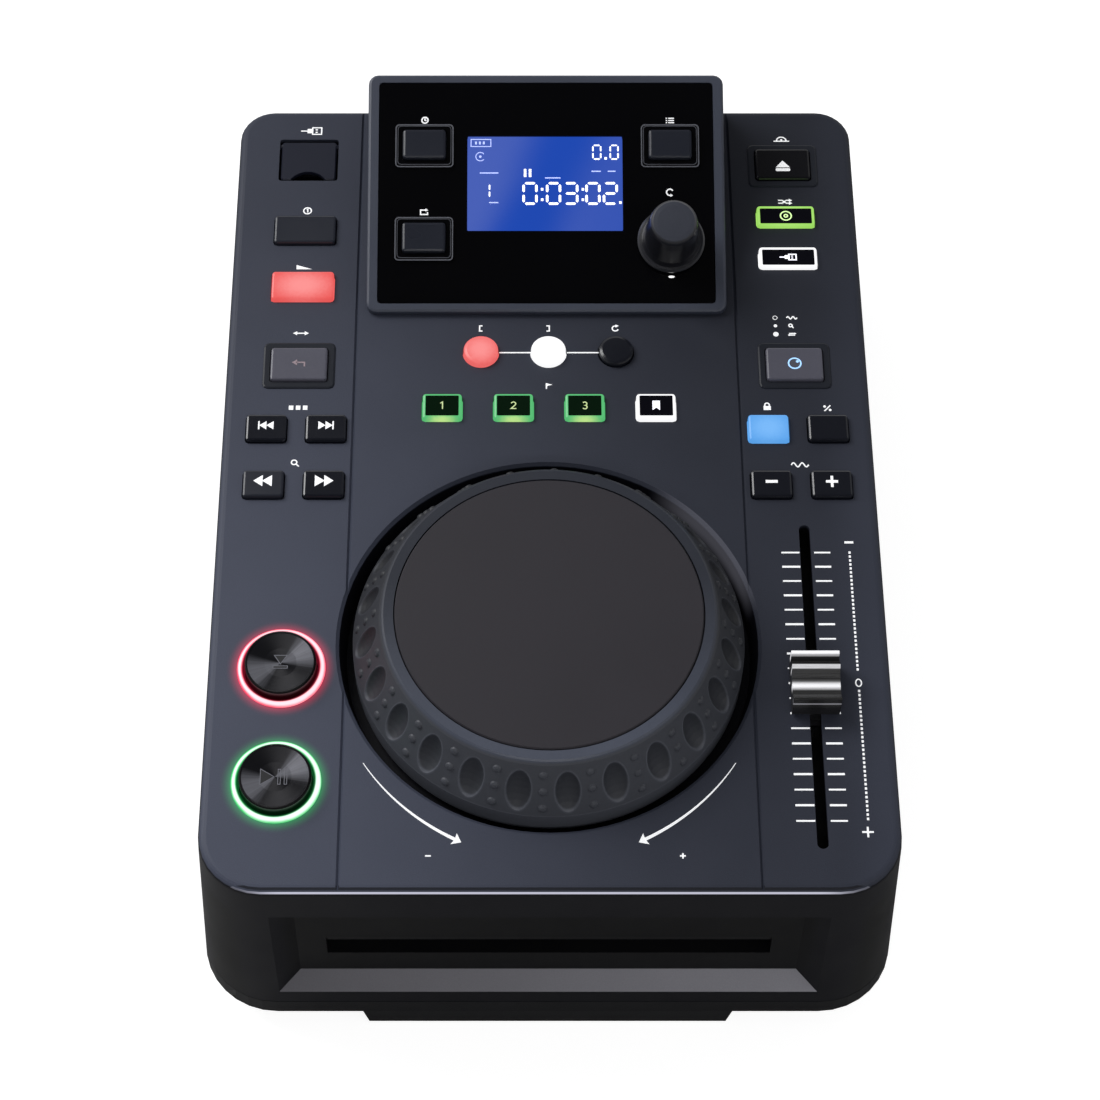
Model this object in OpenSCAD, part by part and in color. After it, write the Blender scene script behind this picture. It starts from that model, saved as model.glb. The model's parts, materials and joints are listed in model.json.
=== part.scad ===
// Tabletop player for discs with a front loading slot and a large jog wheel.
// Millimetres. X to the right, Y to the rear, Z up; the origin is on the table,
// under the middle of the body.

/* [Body] */
// Width of the deck between its side edges
deck_w = 218; // [212:1:236]
// Depth of the deck from its front edge to its rear edge
deck_d = 307; // [302:1:330]
// Height from the body's lower edge up to the deck
body_h = 85; // [78:1:100]
// How far each wall leans out between the deck and the lower edge
wall_lean = 5; // [2:0.5:8]
// Corner radius at the front
front_corner_r = 20; // [16:1:24]
// Corner radius at the rear
rear_corner_r = 12; // [10:1:18]
// Rounding of the deck's outer edge
edge_r = 2.6; // [1:0.2:4]
// Thickness of the side and rear walls
wall_t = 2.6; // [2:0.2:3.2]
// Thickness of the deck
deck_t = 2.6; // [2:0.2:3.4]
// Distance of the two deck grooves from the middle
groove_x = 65.2; // [60:0.2:68]
// Width of a deck groove
groove_w = 1.3; // [0.6:0.1:2]
// Height of the tray's band, below the seam
tray_h = 8.5; // [5:0.5:10]
// Thickness of the tray's sheet
sheet_t = 1.6; // [1:0.2:2.4]
// Height of the tray above the table
foot_h = 10; // [6:0.5:14]
// Radius of a rubber foot
foot_r = 9; // [6:0.5:11]
// Width of the tray's front plinth at its top
plinth_w = 122; // [90:1:150]
// Depth of the plinth pan, front to rear
plinth_d = 150; // [100:1:180]
// How far the plinth hangs below the tray
plinth_h = 8.5; // [5:0.5:9.5]

/* [Slot front] */
// Width of the recess in the front wall
pocket_w = 175; // [160:1:178]
// Depth of that recess
pocket_depth = 5; // [2:0.2:5.4]
// Width of the disc slot
slot_w = 142; // [136:1:150]
// Clear height of the disc slot
slot_h = 8; // [6.6:0.2:9]
// How far the middle of the slot is below the deck
slot_drop = 47; // [41:0.5:50]

/* [Jog wheel] */
// Distance of the wheel's axis from the deck's front edge
jog_y = 88; // [84:0.5:90]
// Radius of the well at the deck
well_r = 67.6; // [65:0.2:68.4]
// Depth of the well
well_depth = 11; // [9:0.5:13]
// Radius of the wheel's skirt
jog_r = 62.9; // [58:0.1:64]
// Radius of the flat ring at the wheel's top
jog_ring_r = 52.4; // [49.6:0.1:54]
// Height of that ring above the deck
jog_rise = 19.5; // [15:0.5:22]
// Radius of the touch disc
touch_r = 48.9; // [44:0.1:49]
// How far the touch disc stands above the ring
touch_rise = 0.3; // [0.1:0.1:2]
// Number of finger dimples round the wheel
dimples = 24; // [16:1:26]
// Depth of a finger dimple
dimple_depth = 1.8; // [0.8:0.1:2]
// Turn of the wheel at rest
jog_turn = 5.4; // [0:0.1:15]
// Radius of the jog shaft
jog_shaft_r = 3; // [2:0.5:4]

/* [Display pod] */
// Distance of the pod's front edge from the deck's front edge
pod_y = 216; // [214:1:218]
// Width of the pod's face
pod_w = 124; // [122:1:128]
// Distance of the upper end of the pod's face from the deck's rear edge
pod_back = 8.4; // [8:0.1:10]
// Tilt of the pod's face
pod_tilt = 18.3; // [14:0.1:20]
// Height of the pod's front lip above the deck
pod_lip = 2.5; // [2:0.1:4]
// Width of the frame at the sides of the glossy panel
pod_frame = 3.7; // [3:0.1:5]
// Width of the blue display window
lcd_w = 53.9; // [46:0.1:56]
// Length of the blue display window
lcd_l = 34.7; // [28:0.1:36]
// Radius of the select knob's skirt
knob_r = 11.6; // [9:0.1:12.4]
// Height of the select knob
knob_h = 22; // [14:0.5:24]

/* [Keys] */
// Distance of the two side columns from the middle
column_x = 84.3; // [83:0.1:86]
// Half the distance between two keys that stand in a pair
pair_dx = 10; // [9.7:0.1:10.4]
// Width of a wide key
wide_w = 21.4; // [18:0.1:23]
// Length of a wide key
wide_l = 11.8; // [10:0.1:14]
// Width of a framed key
framed_w = 19.3; // [18:0.1:21.2]
// Length of a framed key
framed_l = 13.4; // [12:0.1:14.8]
// Width of a small key
small_w = 13.5; // [12:0.1:15]
// Length of a small key
small_l = 10.4; // [9:0.1:12]
// Width of a hot cue key
hot_w = 13.2; // [12:0.1:15]
// Length of a hot cue key
hot_l = 10.2; // [9:0.1:13]
// Width of a source key
source_w = 20.1; // [18:0.1:22]
// Length of a source key
source_l = 8.5; // [8:0.1:11]
// Radius of a round loop key
loop_r = 5.9; // [5:0.1:7]
// Radius of the cue and play keys
play_r = 11.4; // [9:0.1:11.5]
// Outer radius of the light ring round a play key
light_r = 14.2; // [13.8:0.1:15.4]
// Height of a key above the deck
key_rise = 1.7; // [1.4:0.1:3]
// Height of the cue and play keys above the deck
play_rise = 4.6; // [3:0.1:6]
// Travel of a key
key_travel = 1.2; // [0.8:0.1:1.3]
// Gap between a key and its hole
key_gap = 0.35; // [0.3:0.05:0.6]

/* [Pitch fader] */
// Distance of the fader's middle from the deck's front edge
fader_y = 73.2; // [72:0.1:75]
// Travel of the fader
fader_travel = 97; // [90:1:100]
// Where the fader rests, from the middle of its travel
fader_rest = -3.2; // [-20:0.2:20]
// Width of the slot in the deck
fader_slot_w = 3.6; // [3.2:0.1:4.4]
// Width of the fader's cap
cap_w = 15.2; // [12:0.1:18]
// Length of the fader's cap
cap_l = 18; // [16:0.1:20]
// Height of the fader's cap above the deck
cap_rise = 11; // [9:0.5:13]

/* [Disc drive] */
// Distance of the spindle from the deck's front edge
spindle_y = 86; // [82:0.5:90]
// Radius of the turntable
turntable_r = 14; // [11:0.5:16]
// Lift of the traverse that brings the turntable to the disc
traverse_lift = 3; // [2:0.1:3.4]
// Travel of the pickup
pickup_travel = 36; // [30:1:38]
// Pitch of the lead screw
screw_pitch = 3; // [2:0.5:4]

/* [Sockets] */
// Radius of a phono socket's outer shell
phono_r = 4.15; // [4:0.05:4.3]
// Bore radius of the start socket
start_bore_r = 1.8; // [1.75:0.05:2]
// Bore radius of the power socket
power_bore_r = 2.9; // [2.6:0.1:3.2]
// Distance between the two phono sockets
phono_pitch = 16; // [14:0.5:20]
// Clear width of the data socket
usb_w = 12.5; // [12:0.1:13]
// Clear height of the data socket
usb_l = 5.2; // [5:0.1:6]

/* [Hidden] */
$fn = 48;

// Heights
deck_z = foot_h + body_h;
seam_gap = 0.3;
seam_z = foot_h + tray_h + seam_gap;
floor_z = foot_h + sheet_t;
disc_z = deck_z - slot_drop;
// Steps in a quarter round of the body's corners and of a key's corners
corner_steps = 8;
key_steps = 2;
// Gap between pieces that slide in or over each other
play_gap = 0.3;
// Gap between a shaft and its bore
shaft_gap = 0.05;

function from_front(y) = y - deck_d / 2;
// How far a wall stands outside the deck's outline at a height
function lean(z) = wall_lean * (deck_z - z) / body_h;
function arc_points(cx, cy, r, a0, a1, n) =
    [for (i = [0:n]) let (a = a0 + (a1 - a0) * i / n) [cx + r * cos(a), cy + r * sin(a)]];
function round_rect(w, d, r, n) = concat(
    arc_points(w / 2 - r, d / 2 - r, r, 0, 90, n),
    arc_points(r - w / 2, d / 2 - r, r, 90, 180, n),
    arc_points(r - w / 2, r - d / 2, r, 180, 270, n),
    arc_points(w / 2 - r, r - d / 2, r, 270, 360, n));
// The body's outline, moved out by a distance and with its front moved back
function body_outline(out, front_in = 0) = let (
    w = deck_w / 2 + out,
    front = front_in - deck_d / 2 - out,
    rear = deck_d / 2 + out,
    fr = front_corner_r + out,
    rr = rear_corner_r + out
) concat(
    arc_points(w - rr, rear - rr, rr, 0, 90, corner_steps),
    arc_points(rr - w, rear - rr, rr, 90, 180, corner_steps),
    arc_points(fr - w, front + fr, fr, 180, 270, corner_steps),
    arc_points(w - fr, front + fr, fr, 270, 360, corner_steps));

// A solid through outlines with the same number of points, each [points, height]
module loft(rings) {
    n = len(rings[0][0]);
    last = len(rings) - 1;
    polyhedron(
        points = [for (ring = rings) for (p = ring[0]) [p.x, p.y, ring[1]]],
        faces = concat(
            [[for (i = [0:n - 1]) i]],
            [for (k = [0:last - 1]) for (i = [0:n - 1])
                [k * n + i, (k + 1) * n + i, (k + 1) * n + (i + 1) % n, k * n + (i + 1) % n]],
            [[for (i = [n - 1:-1:0]) last * n + i]]));
}

// A block with round corners whose sides follow a profile of [height, inset]
module rounded_block(w, d, r, profile, n = key_steps) {
    loft([for (p = profile) [round_rect(w - 2 * p[1], d - 2 * p[1], max(r - p[1], 0.2), n), p[0]]]);
}

module plate(w, d, r, h, n = key_steps) {
    linear_extrude(h) polygon(round_rect(w, d, r, n));
}

module box(x0, x1, y0, y1, z0, z1) {
    translate([x0, y0, z0]) cube([x1 - x0, y1 - y0, z1 - z0]);
}

// ---------------------------------------------------------------- key layout
// The rows share the depth between the fader's end and the deck's rear edge
rows_front = 131.7;
rows_rear = 307;
fader_end_y = fader_y + fader_travel / 2 + 10;
function row(y) = fader_end_y + (y - rows_front) * (deck_d - fader_end_y) / (rows_rear - rows_front);
single_y = row(252.5);
brake_y = row(228.2);
framed_y = row(195.3);
track_y = row(169.3);
search_y = row(147.1);
cue_y = 78;
play_y = 37.5;
eject_y = row(281.5);
source_disc_y = row(258.4);
source_usb_y = row(240.4);
usb_y = row(284.3);
pod_front = row(pod_y);
// The middle rows stand between the jog well and the pod
well_rear_y = jog_y + well_r;
loop_y = well_rear_y + 0.748 * (pod_front - well_rear_y);
loop_dx = 23.05;
loop_x = 0.6;
hot_y = well_rear_y + 0.369 * (pod_front - well_rear_y);
hot_dx = 24.05;
hot_x = 0.7;

// Each deck key as [x, y from the front edge, width, length]; a round one has length 0
SINGLE = [-column_x, single_y, wide_w, wide_l];
BRAKE = [-column_x, brake_y, wide_w, wide_l];
REVERSE = [-column_x, framed_y, framed_w, framed_l];
TRACK_BACK = [-column_x - pair_dx, track_y, small_w, small_l];
TRACK_FORWARD = [-column_x + pair_dx, track_y, small_w, small_l];
SEARCH_BACK = [-column_x - pair_dx, search_y, small_w, small_l];
SEARCH_FORWARD = [-column_x + pair_dx, search_y, small_w, small_l];
EJECT = [column_x, eject_y, framed_w, framed_l];
SOURCE_DISC = [column_x, source_disc_y, source_w, source_l];
SOURCE_USB = [column_x, source_usb_y, source_w, source_l];
JOG_MODE = [column_x, framed_y, framed_w, framed_l];
MASTER_TEMPO = [column_x - pair_dx, track_y, small_w, small_l];
PITCH_RANGE = [column_x + pair_dx, track_y, small_w, small_l];
BEND_MINUS = [column_x - pair_dx, search_y, small_w, small_l];
BEND_PLUS = [column_x + pair_dx, search_y, small_w, small_l];
HOT_1 = [hot_x - 1.5 * hot_dx, hot_y, hot_w, hot_l];
HOT_2 = [hot_x - 0.5 * hot_dx, hot_y, hot_w, hot_l];
HOT_3 = [hot_x + 0.5 * hot_dx, hot_y, hot_w, hot_l];
MEMO = [hot_x + 1.5 * hot_dx, hot_y, hot_w, hot_l];
LOOP_IN = [loop_x - loop_dx, loop_y, loop_r, 0];
LOOP_OUT = [loop_x, loop_y, loop_r, 0];
RELOOP = [loop_x + loop_dx, loop_y, loop_r, 0];
CUE = [-column_x - 1.2, cue_y, play_r, 0];
PLAY = [-column_x - 1.2, play_y, play_r, 0];
SQUARE_KEYS = [SINGLE, BRAKE, REVERSE, TRACK_BACK, TRACK_FORWARD, SEARCH_BACK, SEARCH_FORWARD,
    EJECT, SOURCE_DISC, SOURCE_USB, JOG_MODE, MASTER_TEMPO, PITCH_RANGE, BEND_MINUS, BEND_PLUS,
    HOT_1, HOT_2, HOT_3, MEMO];
LOOP_KEYS = [LOOP_IN, LOOP_OUT, RELOOP];
PLAY_KEYS = [CUE, PLAY];
FRAMED_KEYS = [REVERSE, EJECT, JOG_MODE];
function is_framed(k) = len([for (f = FRAMED_KEYS) if (f == k) f]) > 0;
key_corner_r = 1;
flange_w = 1.2;
flange_t = 1;
stem_r = 1.6;
// Frame round a framed key
bezel_w = 2.2;
bezel_l = 2.4;
bezel_rise = 0.5;

// Control board under the deck and the switches on it
board_t = 1.6;
board_z = deck_z - 12;
switch_h = 3.2;
switch_w = 6;
post_r = 2.6;
strip_in_x = 70.5;
strip_out_x = 103.5;
fader_len = fader_travel + 32;
left_strip_y = [22, row(292)];
right_strip_y = [max(row(139), fader_y + fader_len / 2 + 1), row(292)];
bridge_y = [row(166), row(211)];
post_x = strip_out_x - 3;
POSTS = concat(
    [for (side = [-1, 1]) for (p = [[column_x, (track_y + search_y) / 2], [post_x, row(215)],
        [post_x, row(262)], [strip_in_x - 12, (bridge_y[0] + bridge_y[1]) / 2]]) [side * p.x, p.y]],
    [[CUE.x, (cue_y + play_y) / 2]]);

// Case screws: their bosses stand on the deck's underside and reach the tray
boss_r = 4;
screw_r = 1.45;
pilot_r = 1.55;
screw_head_r = 2.8;
screw_head_h = 1.8;
side_boss_x = deck_w / 2 - 12;
BOSSES = [for (sx = [-1, 1]) for (y = [12.5, 122, deck_d - 8.5]) [sx * side_boss_x, y]];
FEET = [for (sx = [-1, 1]) for (y = [34, deck_d - 28]) [sx * (deck_w / 2 - 17), y]];

// Rear end of the disc drive
frame_rear_y = spindle_y + 82;

// Rear window and panel
panel_y = deck_d / 2 - 4.5;
window_w = 168;
window_z = deck_z - 30;

// ---------------------------------------------------------------- pod frame
pod_l = (deck_d - pod_front - pod_back) / cos(pod_tilt);
pod_rear_y = deck_d / 2 - 1.4;
pod_skin = 2;
pod_corner_r = 3.4;
pod_recess = 1.6;
gloss_t = 2.4;
gloss_gap = 0.15;
gloss_w = pod_w - 2 * pod_frame;
gloss_l = pod_l - 2 * (pod_frame - 0.6);
// Places on the face, given for a face of this length
face_rows_l = 87;
function face_s(s) = s * pod_l / face_rows_l;
panel_key_w = 15;
panel_key_l = 10.7;
TIME = [-42.3, face_s(60.4)];
REPEAT = [-42.3, face_s(26.4)];
PROGRAM = [43.1, face_s(60.4)];
KNOB = [43, face_s(25.2)];
lcd_x = -0.4;
lcd_s = face_s(46.7);
lcd_t = 6;
// Depth of the display board under the face
pod_board_drop = 12;
pod_board_w = 104;
pod_board_s = [face_s(9), face_s(80)];

// Places children on the pod's face: X across, Y up the slope, Z out of the face
module on_face(x = 0, s = 0, h = 0) {
    translate([0, from_front(pod_front), deck_z + pod_lip])
        rotate([pod_tilt, 0, 0])
            translate([x, s, h])
                children();
}

// ---------------------------------------------------------------- main shells
module body_outer(z0) {
    fillet_z = deck_z - edge_r;
    loft(concat(
        [[body_outline(lean(z0)), z0]],
        [for (a = [0:18:90])
            [body_outline(lean(fillet_z) * cos(a) - edge_r * (1 - cos(a))),
                fillet_z + edge_r * sin(a)]]));
}

// A corner of the front recess; t is 0 at the front surface and 1 at its back
pocket_top_drop = 16.5;
ledge_drop = 69;
pocket_side = 7.2;
pocket_roof = 3;
ledge_rise = 6.4;
function pocket_point(side, upper, t) = let (
    z = deck_z + (upper ? -pocket_top_drop - pocket_roof * t : -ledge_drop + ledge_rise * t)
) [side * (pocket_w / 2 - pocket_side * t), pocket_depth * t - deck_d / 2 - lean(z), z];

module front_pocket() {
    out = -0.4;
    polyhedron(
        points = [for (t = [out, 1]) for (c = [[-1, false], [1, false], [1, true], [-1, true]])
            pocket_point(c[0], c[1], t)],
        faces = [[0, 3, 2, 1], [4, 5, 6, 7], [0, 1, 5, 4], [1, 2, 6, 5], [2, 3, 7, 6], [3, 0, 4, 7]]);
}

module deck_grooves() {
    for (side = [-1, 1])
        translate([side * groove_x, 0, deck_z])
            rotate([90, 0, 0])
                linear_extrude(deck_d + 2, center = true)
                    polygon([[-groove_w / 2, 0.01], [0, -groove_w * 0.6], [groove_w / 2, 0.01]]);
}

module key_hole(k, margin) {
    translate([k[0], from_front(k[1]), deck_z - deck_t - 1])
        if (k[3] == 0) cylinder(r = k[2] + margin, h = deck_t + 2);
        else plate(k[2] + 2 * margin, k[3] + 2 * margin, key_corner_r + margin, deck_t + 2);
}

// Recess for the data socket's flap
flap_w = 19.4;
flap_l = 17;
flap_t = 1.6;
flap_gap = 0.8;
flap_pin_r = 0.9;
flap_pin_l = flap_w + 2 * flap_gap + 2;
usb_recess = 5;
usb_block_h = 16;
usb_pin_drop = 1.5;
flap_pin_y = usb_y + flap_l / 2 - 1.6;

module usb_recess_box() {
    translate([-column_x, from_front(usb_y), deck_z - usb_recess])
        plate(flap_w + 2 * flap_gap, flap_l + 2 * flap_gap, key_corner_r, usb_recess + 1);
}

well_wall_t = 2.4;
well_slope = 2.2;
well_edge = 0.9;
module jog_well(grow, h0) {
    translate([0, from_front(jog_y), deck_z - well_depth - h0])
        cylinder(r1 = well_r - well_slope + grow, r2 = well_r + grow, h = well_depth + h0);
}

bearing_flange_r = 11;
bearing_r = 7;

module top_cover() {
    color("#2c2e36")
        difference() {
            union() {
                difference() {
                    body_outer(seam_z);
                    loft([for (z = [seam_z - 1, deck_z - deck_t])
                        [body_outline(lean(z) - wall_t, pocket_depth), z]]);
                }
                // Wall and floor of the jog well
                jog_well(well_wall_t, deck_t);
                // Walls of the data socket's recess
                translate([-column_x, from_front(usb_y), deck_z - usb_recess - deck_t])
                    plate(flap_pin_l + 2.6, flap_l + 5, 2, usb_recess + deck_t / 2);
                // Screw bosses
                for (b = BOSSES)
                    translate([b[0], from_front(b[1]), floor_z + 0.1])
                        cylinder(r = boss_r, h = deck_z - floor_z - deck_t / 2);
                // Posts that carry the control board
                for (p = POSTS)
                    translate([p[0], from_front(p[1]), board_z])
                        cylinder(r = post_r, h = deck_z - board_z - deck_t / 2);
                rear_window_frame();
                slot_lip();
            }
            front_pocket_and_slot();
            deck_grooves();
            jog_well(0, 0);
            // Chamfer of the well's edge
            translate([0, from_front(jog_y), deck_z - well_edge])
                cylinder(r1 = well_r - 0.2, r2 = well_r + well_edge, h = well_edge + 0.01);
            translate([0, from_front(jog_y), deck_z - well_depth - deck_t - 1])
                cylinder(r = bearing_r, h = deck_t + 2);
            for (k = SQUARE_KEYS) key_hole(k, key_gap + (is_framed(k) ? bezel_w : 0));
            for (k = LOOP_KEYS) key_hole(k, key_gap);
            for (k = PLAY_KEYS) key_hole(k, light_neck_w + key_gap + play_gap);
            fader_slot();
            usb_recess_box();
            translate([-column_x, from_front(usb_y), deck_z - usb_block_h])
                plate(usb_w + 2 * usb_shell_t + 2 * usb_seat, usb_l + 2 * usb_shell_t + 2 * usb_seat,
                    0.4, usb_block_h);
            translate([-column_x, from_front(flap_pin_y), deck_z - usb_pin_drop])
                rotate([0, 90, 0])
                    cylinder(r = flap_pin_r + shaft_gap, h = flap_pin_l + 0.6, center = true);
            // Window under the display pod
            box(-54, 54, from_front(pod_front + 6), from_front(deck_d - 13), deck_z - deck_t - 1,
                deck_z + 1);
            for (b = BOSSES)
                translate([b[0], from_front(b[1]), floor_z - 1])
                    cylinder(r = pilot_r, h = 13);
            box(-window_w / 2, window_w / 2, panel_y - 1, deck_d, seam_z - 1, window_z);
        }
}

// The frame that leads from the rear wall in to the rear panel
module rear_window_frame() {
    frame_t = 2.4;
    y0 = panel_y + 0.2;
    top = window_z + frame_t;
    for (x = [-window_w / 2 - frame_t, window_w / 2])
        translate([x, 0, 0])
            rotate([90, 0, 90])
                linear_extrude(frame_t)
                    polygon([[y0, seam_z], [deck_d / 2 + lean(seam_z) - 0.5, seam_z],
                        [deck_d / 2 + lean(top) - 0.5, top], [y0, top]]);
    box(-window_w / 2 - frame_t, window_w / 2 + frame_t, y0, deck_d / 2 + lean(top) - 0.5, window_z, top);
}

// Thickening of the front wall round the slot, on its inside
slot_lip_t = 3;
module slot_lip() {
    y0 = pocket_depth - deck_d / 2 - lean(disc_z);
    difference() {
        box(-slot_w / 2 - 3, slot_w / 2 + 3, y0, y0 + wall_t + slot_lip_t,
            disc_z - slot_h / 2 - 3, disc_z + slot_h / 2 + 3);
        box(-slot_w, slot_w, y0 - 1, y0 + wall_t + slot_lip_t + 1, disc_z - slot_h / 2,
            disc_z + slot_h / 2);
    }
}

module front_pocket_and_slot() {
    front_pocket();
    box(-slot_w / 2, slot_w / 2, -deck_d / 2 - wall_lean - 1,
        from_front(pocket_depth + wall_t + slot_lip_t),
        disc_z - slot_h / 2, disc_z + slot_h / 2);
    // Step above the slot
    y1 = pocket_depth - deck_d / 2 - lean(disc_z) + 0.9;
    box(-slot_w / 2, slot_w / 2, -deck_d / 2 - wall_lean - 1, y1,
        disc_z - slot_h / 2, disc_z + slot_h / 2 + 3);
}

module fader_slot() {
    half = fader_travel / 2 + 10;
    translate([column_x, from_front(fader_y), deck_z - deck_t - 1])
        plate(fader_slot_w, 2 * half, fader_slot_w / 2 - 0.01, deck_t + 2, 6);
}

module bottom_tray() {
    rim_gap = 0.3;
    lip_h = 5;
    top = seam_z - seam_gap;
    color("#1b1b20")
        difference() {
            union() {
                difference() {
                    loft([for (z = [foot_h, foot_h + 1.4, top])
                        [body_outline(lean(z) - (z == foot_h ? 1.2 : 0)), z]]);
                    loft([for (z = [floor_z, top + 1])
                        [body_outline(lean(z) - wall_t - rim_gap - sheet_t, pocket_depth), z]]);
                }
                // Lip that stands inside the cover's walls
                difference() {
                    loft([for (z = [floor_z - 0.5, top + lip_h])
                        [body_outline(lean(z) - wall_t - rim_gap, pocket_depth), z]]);
                    loft([for (z = [floor_z - 1, top + lip_h + 1])
                        [body_outline(lean(z) - wall_t - rim_gap - sheet_t, pocket_depth), z]]);
                }
                // Rear panel
                box(-window_w / 2 - 2, window_w / 2 + 2, panel_y - sheet_t, panel_y, foot_h + 0.5,
                    window_z + 2);
                plinth(0, foot_h - plinth_h, foot_h + 0.5);
                // Standoffs of the main board
                for (p = BOARD_POSTS)
                    translate([p[0], from_front(p[1]), foot_h + 0.5])
                        cylinder(r = 3, h = main_board_z - foot_h - 0.5);
            }
            plinth(sheet_t, foot_h - plinth_h + sheet_t, floor_z + 1);
            // The lip stops at the rear window
            box(-window_w / 2 - 3, window_w / 2 + 3, panel_y + 0.1, deck_d / 2 + wall_lean, top,
                top + lip_h + 1);
            for (b = BOSSES)
                translate([b[0], from_front(b[1]), foot_h - 1]) {
                    cylinder(r = screw_r + 0.25, h = sheet_t + 2);
                    cylinder(r = boss_r + 0.4, h = 1 + sheet_t - 0.9);
                }
            for (b = BOSSES)
                translate([b[0], from_front(b[1]), floor_z])
                    cylinder(r = boss_r + 0.3, h = 20);
            rear_panel_holes();
        }
}

plinth_taper = 1.8;
module plinth(inset, z0, z1) {
    y0 = -deck_d / 2 - lean(foot_h) + 0.6;
    half = plinth_w / 2 - inset;
    translate([0, y0 + inset, 0])
        rotate([-90, 0, 0])
            linear_extrude(plinth_d - 2 * inset)
                polygon([[-half, -z1], [half, -z1], [half - plinth_taper, -z0],
                    [plinth_taper - half, -z0]]);
}

module rubber_feet() {
    color("#121214")
        for (f = FEET)
            translate([f[0], from_front(f[1]), 0])
                rotate_extrude()
                    polygon([[0, 0], [foot_r - 1.6, 0], [foot_r - 0.6, 0.6], [foot_r, foot_h],
                        [0, foot_h]]);
}

module case_screws() {
    color("#55565a")
        for (b = BOSSES)
            translate([b[0], from_front(b[1]), foot_h]) {
                translate([0, 0, -screw_head_h + 0.6]) cylinder(r = screw_head_r, h = screw_head_h + 0.1);
                cylinder(r = screw_r, h = 12);
            }
}

// ---------------------------------------------------------------- display pod
module pod_block(inset, top) {
    on_face(0, pod_l / 2, 0)
        rounded_block(pod_w, pod_l, pod_corner_r,
            [[-40, inset - 1.4], [-1.2, inset], [-0.4, inset + 0.3], [top, inset + 1]], 4);
}

module display_housing() {
    color("#2a2c33")
        difference() {
            pod_block(0, 0);
            // The hollow inside, and the seat of the glossy panel
            intersection() {
                on_face(0, pod_l / 2, 0)
                    rounded_block(pod_w, pod_l, pod_corner_r, [[-50, pod_skin],
                        [-gloss_t - 2, pod_skin]], 3);
                box(-pod_w, pod_w, -deck_d, pod_rear_y - pod_skin, deck_z - deck_d, deck_z + deck_d);
            }
            on_face(0, pod_l / 2, 0)
                rounded_block(gloss_w - 4, gloss_l - 4, 1, [[-gloss_t - 3, 0], [1, 0]], 2);
            on_face(0, pod_l / 2, -gloss_t)
                rounded_block(gloss_w, gloss_l, 1.2, [[0, 0], [gloss_t + 1, 0]], 2);
            // Foot on the deck, and the upright rear face
            box(-pod_w, pod_w, -deck_d, deck_d, deck_z - deck_d, deck_z);
            box(-pod_w, pod_w, pod_rear_y, deck_d, deck_z - deck_d, deck_z + deck_d);
        }
}

PANEL_KEYS = [TIME, REPEAT, PROGRAM];
rim_w = 2;
rim_h = 0.7;
module display_panel() {
    color("#0b0b0d")
        difference() {
            union() {
                on_face(0, pod_l / 2, -gloss_t)
                    rounded_block(gloss_w - 2 * gloss_gap, gloss_l - 2 * gloss_gap, 1.1,
                        [[0, 0], [gloss_t - 0.3, 0], [gloss_t, 0.3]], 2);
                // Raised rims round the keys
                for (k = PANEL_KEYS)
                    on_face(k[0], k[1], -0.5)
                        rounded_block(panel_key_w + 2 * rim_w + 0.6, panel_key_l + 2 * rim_w, 1.2,
                            [[0, 0], [0.5 + rim_h - 0.3, 0], [0.5 + rim_h, 0.4]]);
                // Pillars down to the display board
                for (x = [-pod_board_w / 2 + 4, pod_board_w / 2 - 4])
                    for (s = [pod_board_s[0] + 4, pod_board_s[1] - 4])
                        on_face(x, s, -pod_board_drop) cylinder(r = 2.4, h = pod_board_drop - 1, $fn = 24);
            }
            for (k = PANEL_KEYS)
                on_face(k[0], k[1], -gloss_t - 1)
                    plate(panel_key_w + 2 * key_gap, panel_key_l + 2 * key_gap, 1, gloss_t + 4);
            on_face(lcd_x, lcd_s, -gloss_t - 1) plate(lcd_w, lcd_l, 0.4, gloss_t + 2);
            on_face(KNOB[0], KNOB[1], -gloss_t - 1) cylinder(r = bush_r + 0.2, h = gloss_t + 2);
        }
}

module lcd_module() {
    color("#2f58c8") {
        on_face(lcd_x, lcd_s, -lcd_t - 0.3)
            plate(lcd_w - 0.3, lcd_l - 0.3, 0.3, lcd_t);
        on_face(lcd_x, lcd_s, -pod_board_drop)
            plate(lcd_w + 10, lcd_l + 10, 1, pod_board_drop - lcd_t + 1.5);
    }
}

// Bush of the select knob's shaft, on the display board
bush_r = 4.5;
shaft_r = 3;
encoder_h = 6;
bush_h = 3.4;
module display_board() {
    mid = (pod_board_s[0] + pod_board_s[1]) / 2;
    color("#1f4a2c")
        difference() {
            union() {
                on_face(0, mid, -pod_board_drop - board_t)
                    plate(pod_board_w, pod_board_s[1] - pod_board_s[0], 1, board_t);
                on_face(KNOB[0], KNOB[1], -pod_board_drop - 0.5) plate(12.4, 12.4, 0.6, encoder_h + 0.5);
                on_face(KNOB[0], KNOB[1], -pod_board_drop + encoder_h - 1)
                    cylinder(r = bush_r, h = bush_h + 3);
                for (k = PANEL_KEYS)
                    on_face(k[0], k[1], -pod_board_drop - 0.5)
                        plate(switch_w, switch_w, 0.5, switch_h + 0.5);
            }
            on_face(KNOB[0], KNOB[1], -pod_board_drop - board_t - 1)
                cylinder(r = shaft_r + shaft_gap, h = 20);
        }
}

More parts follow.
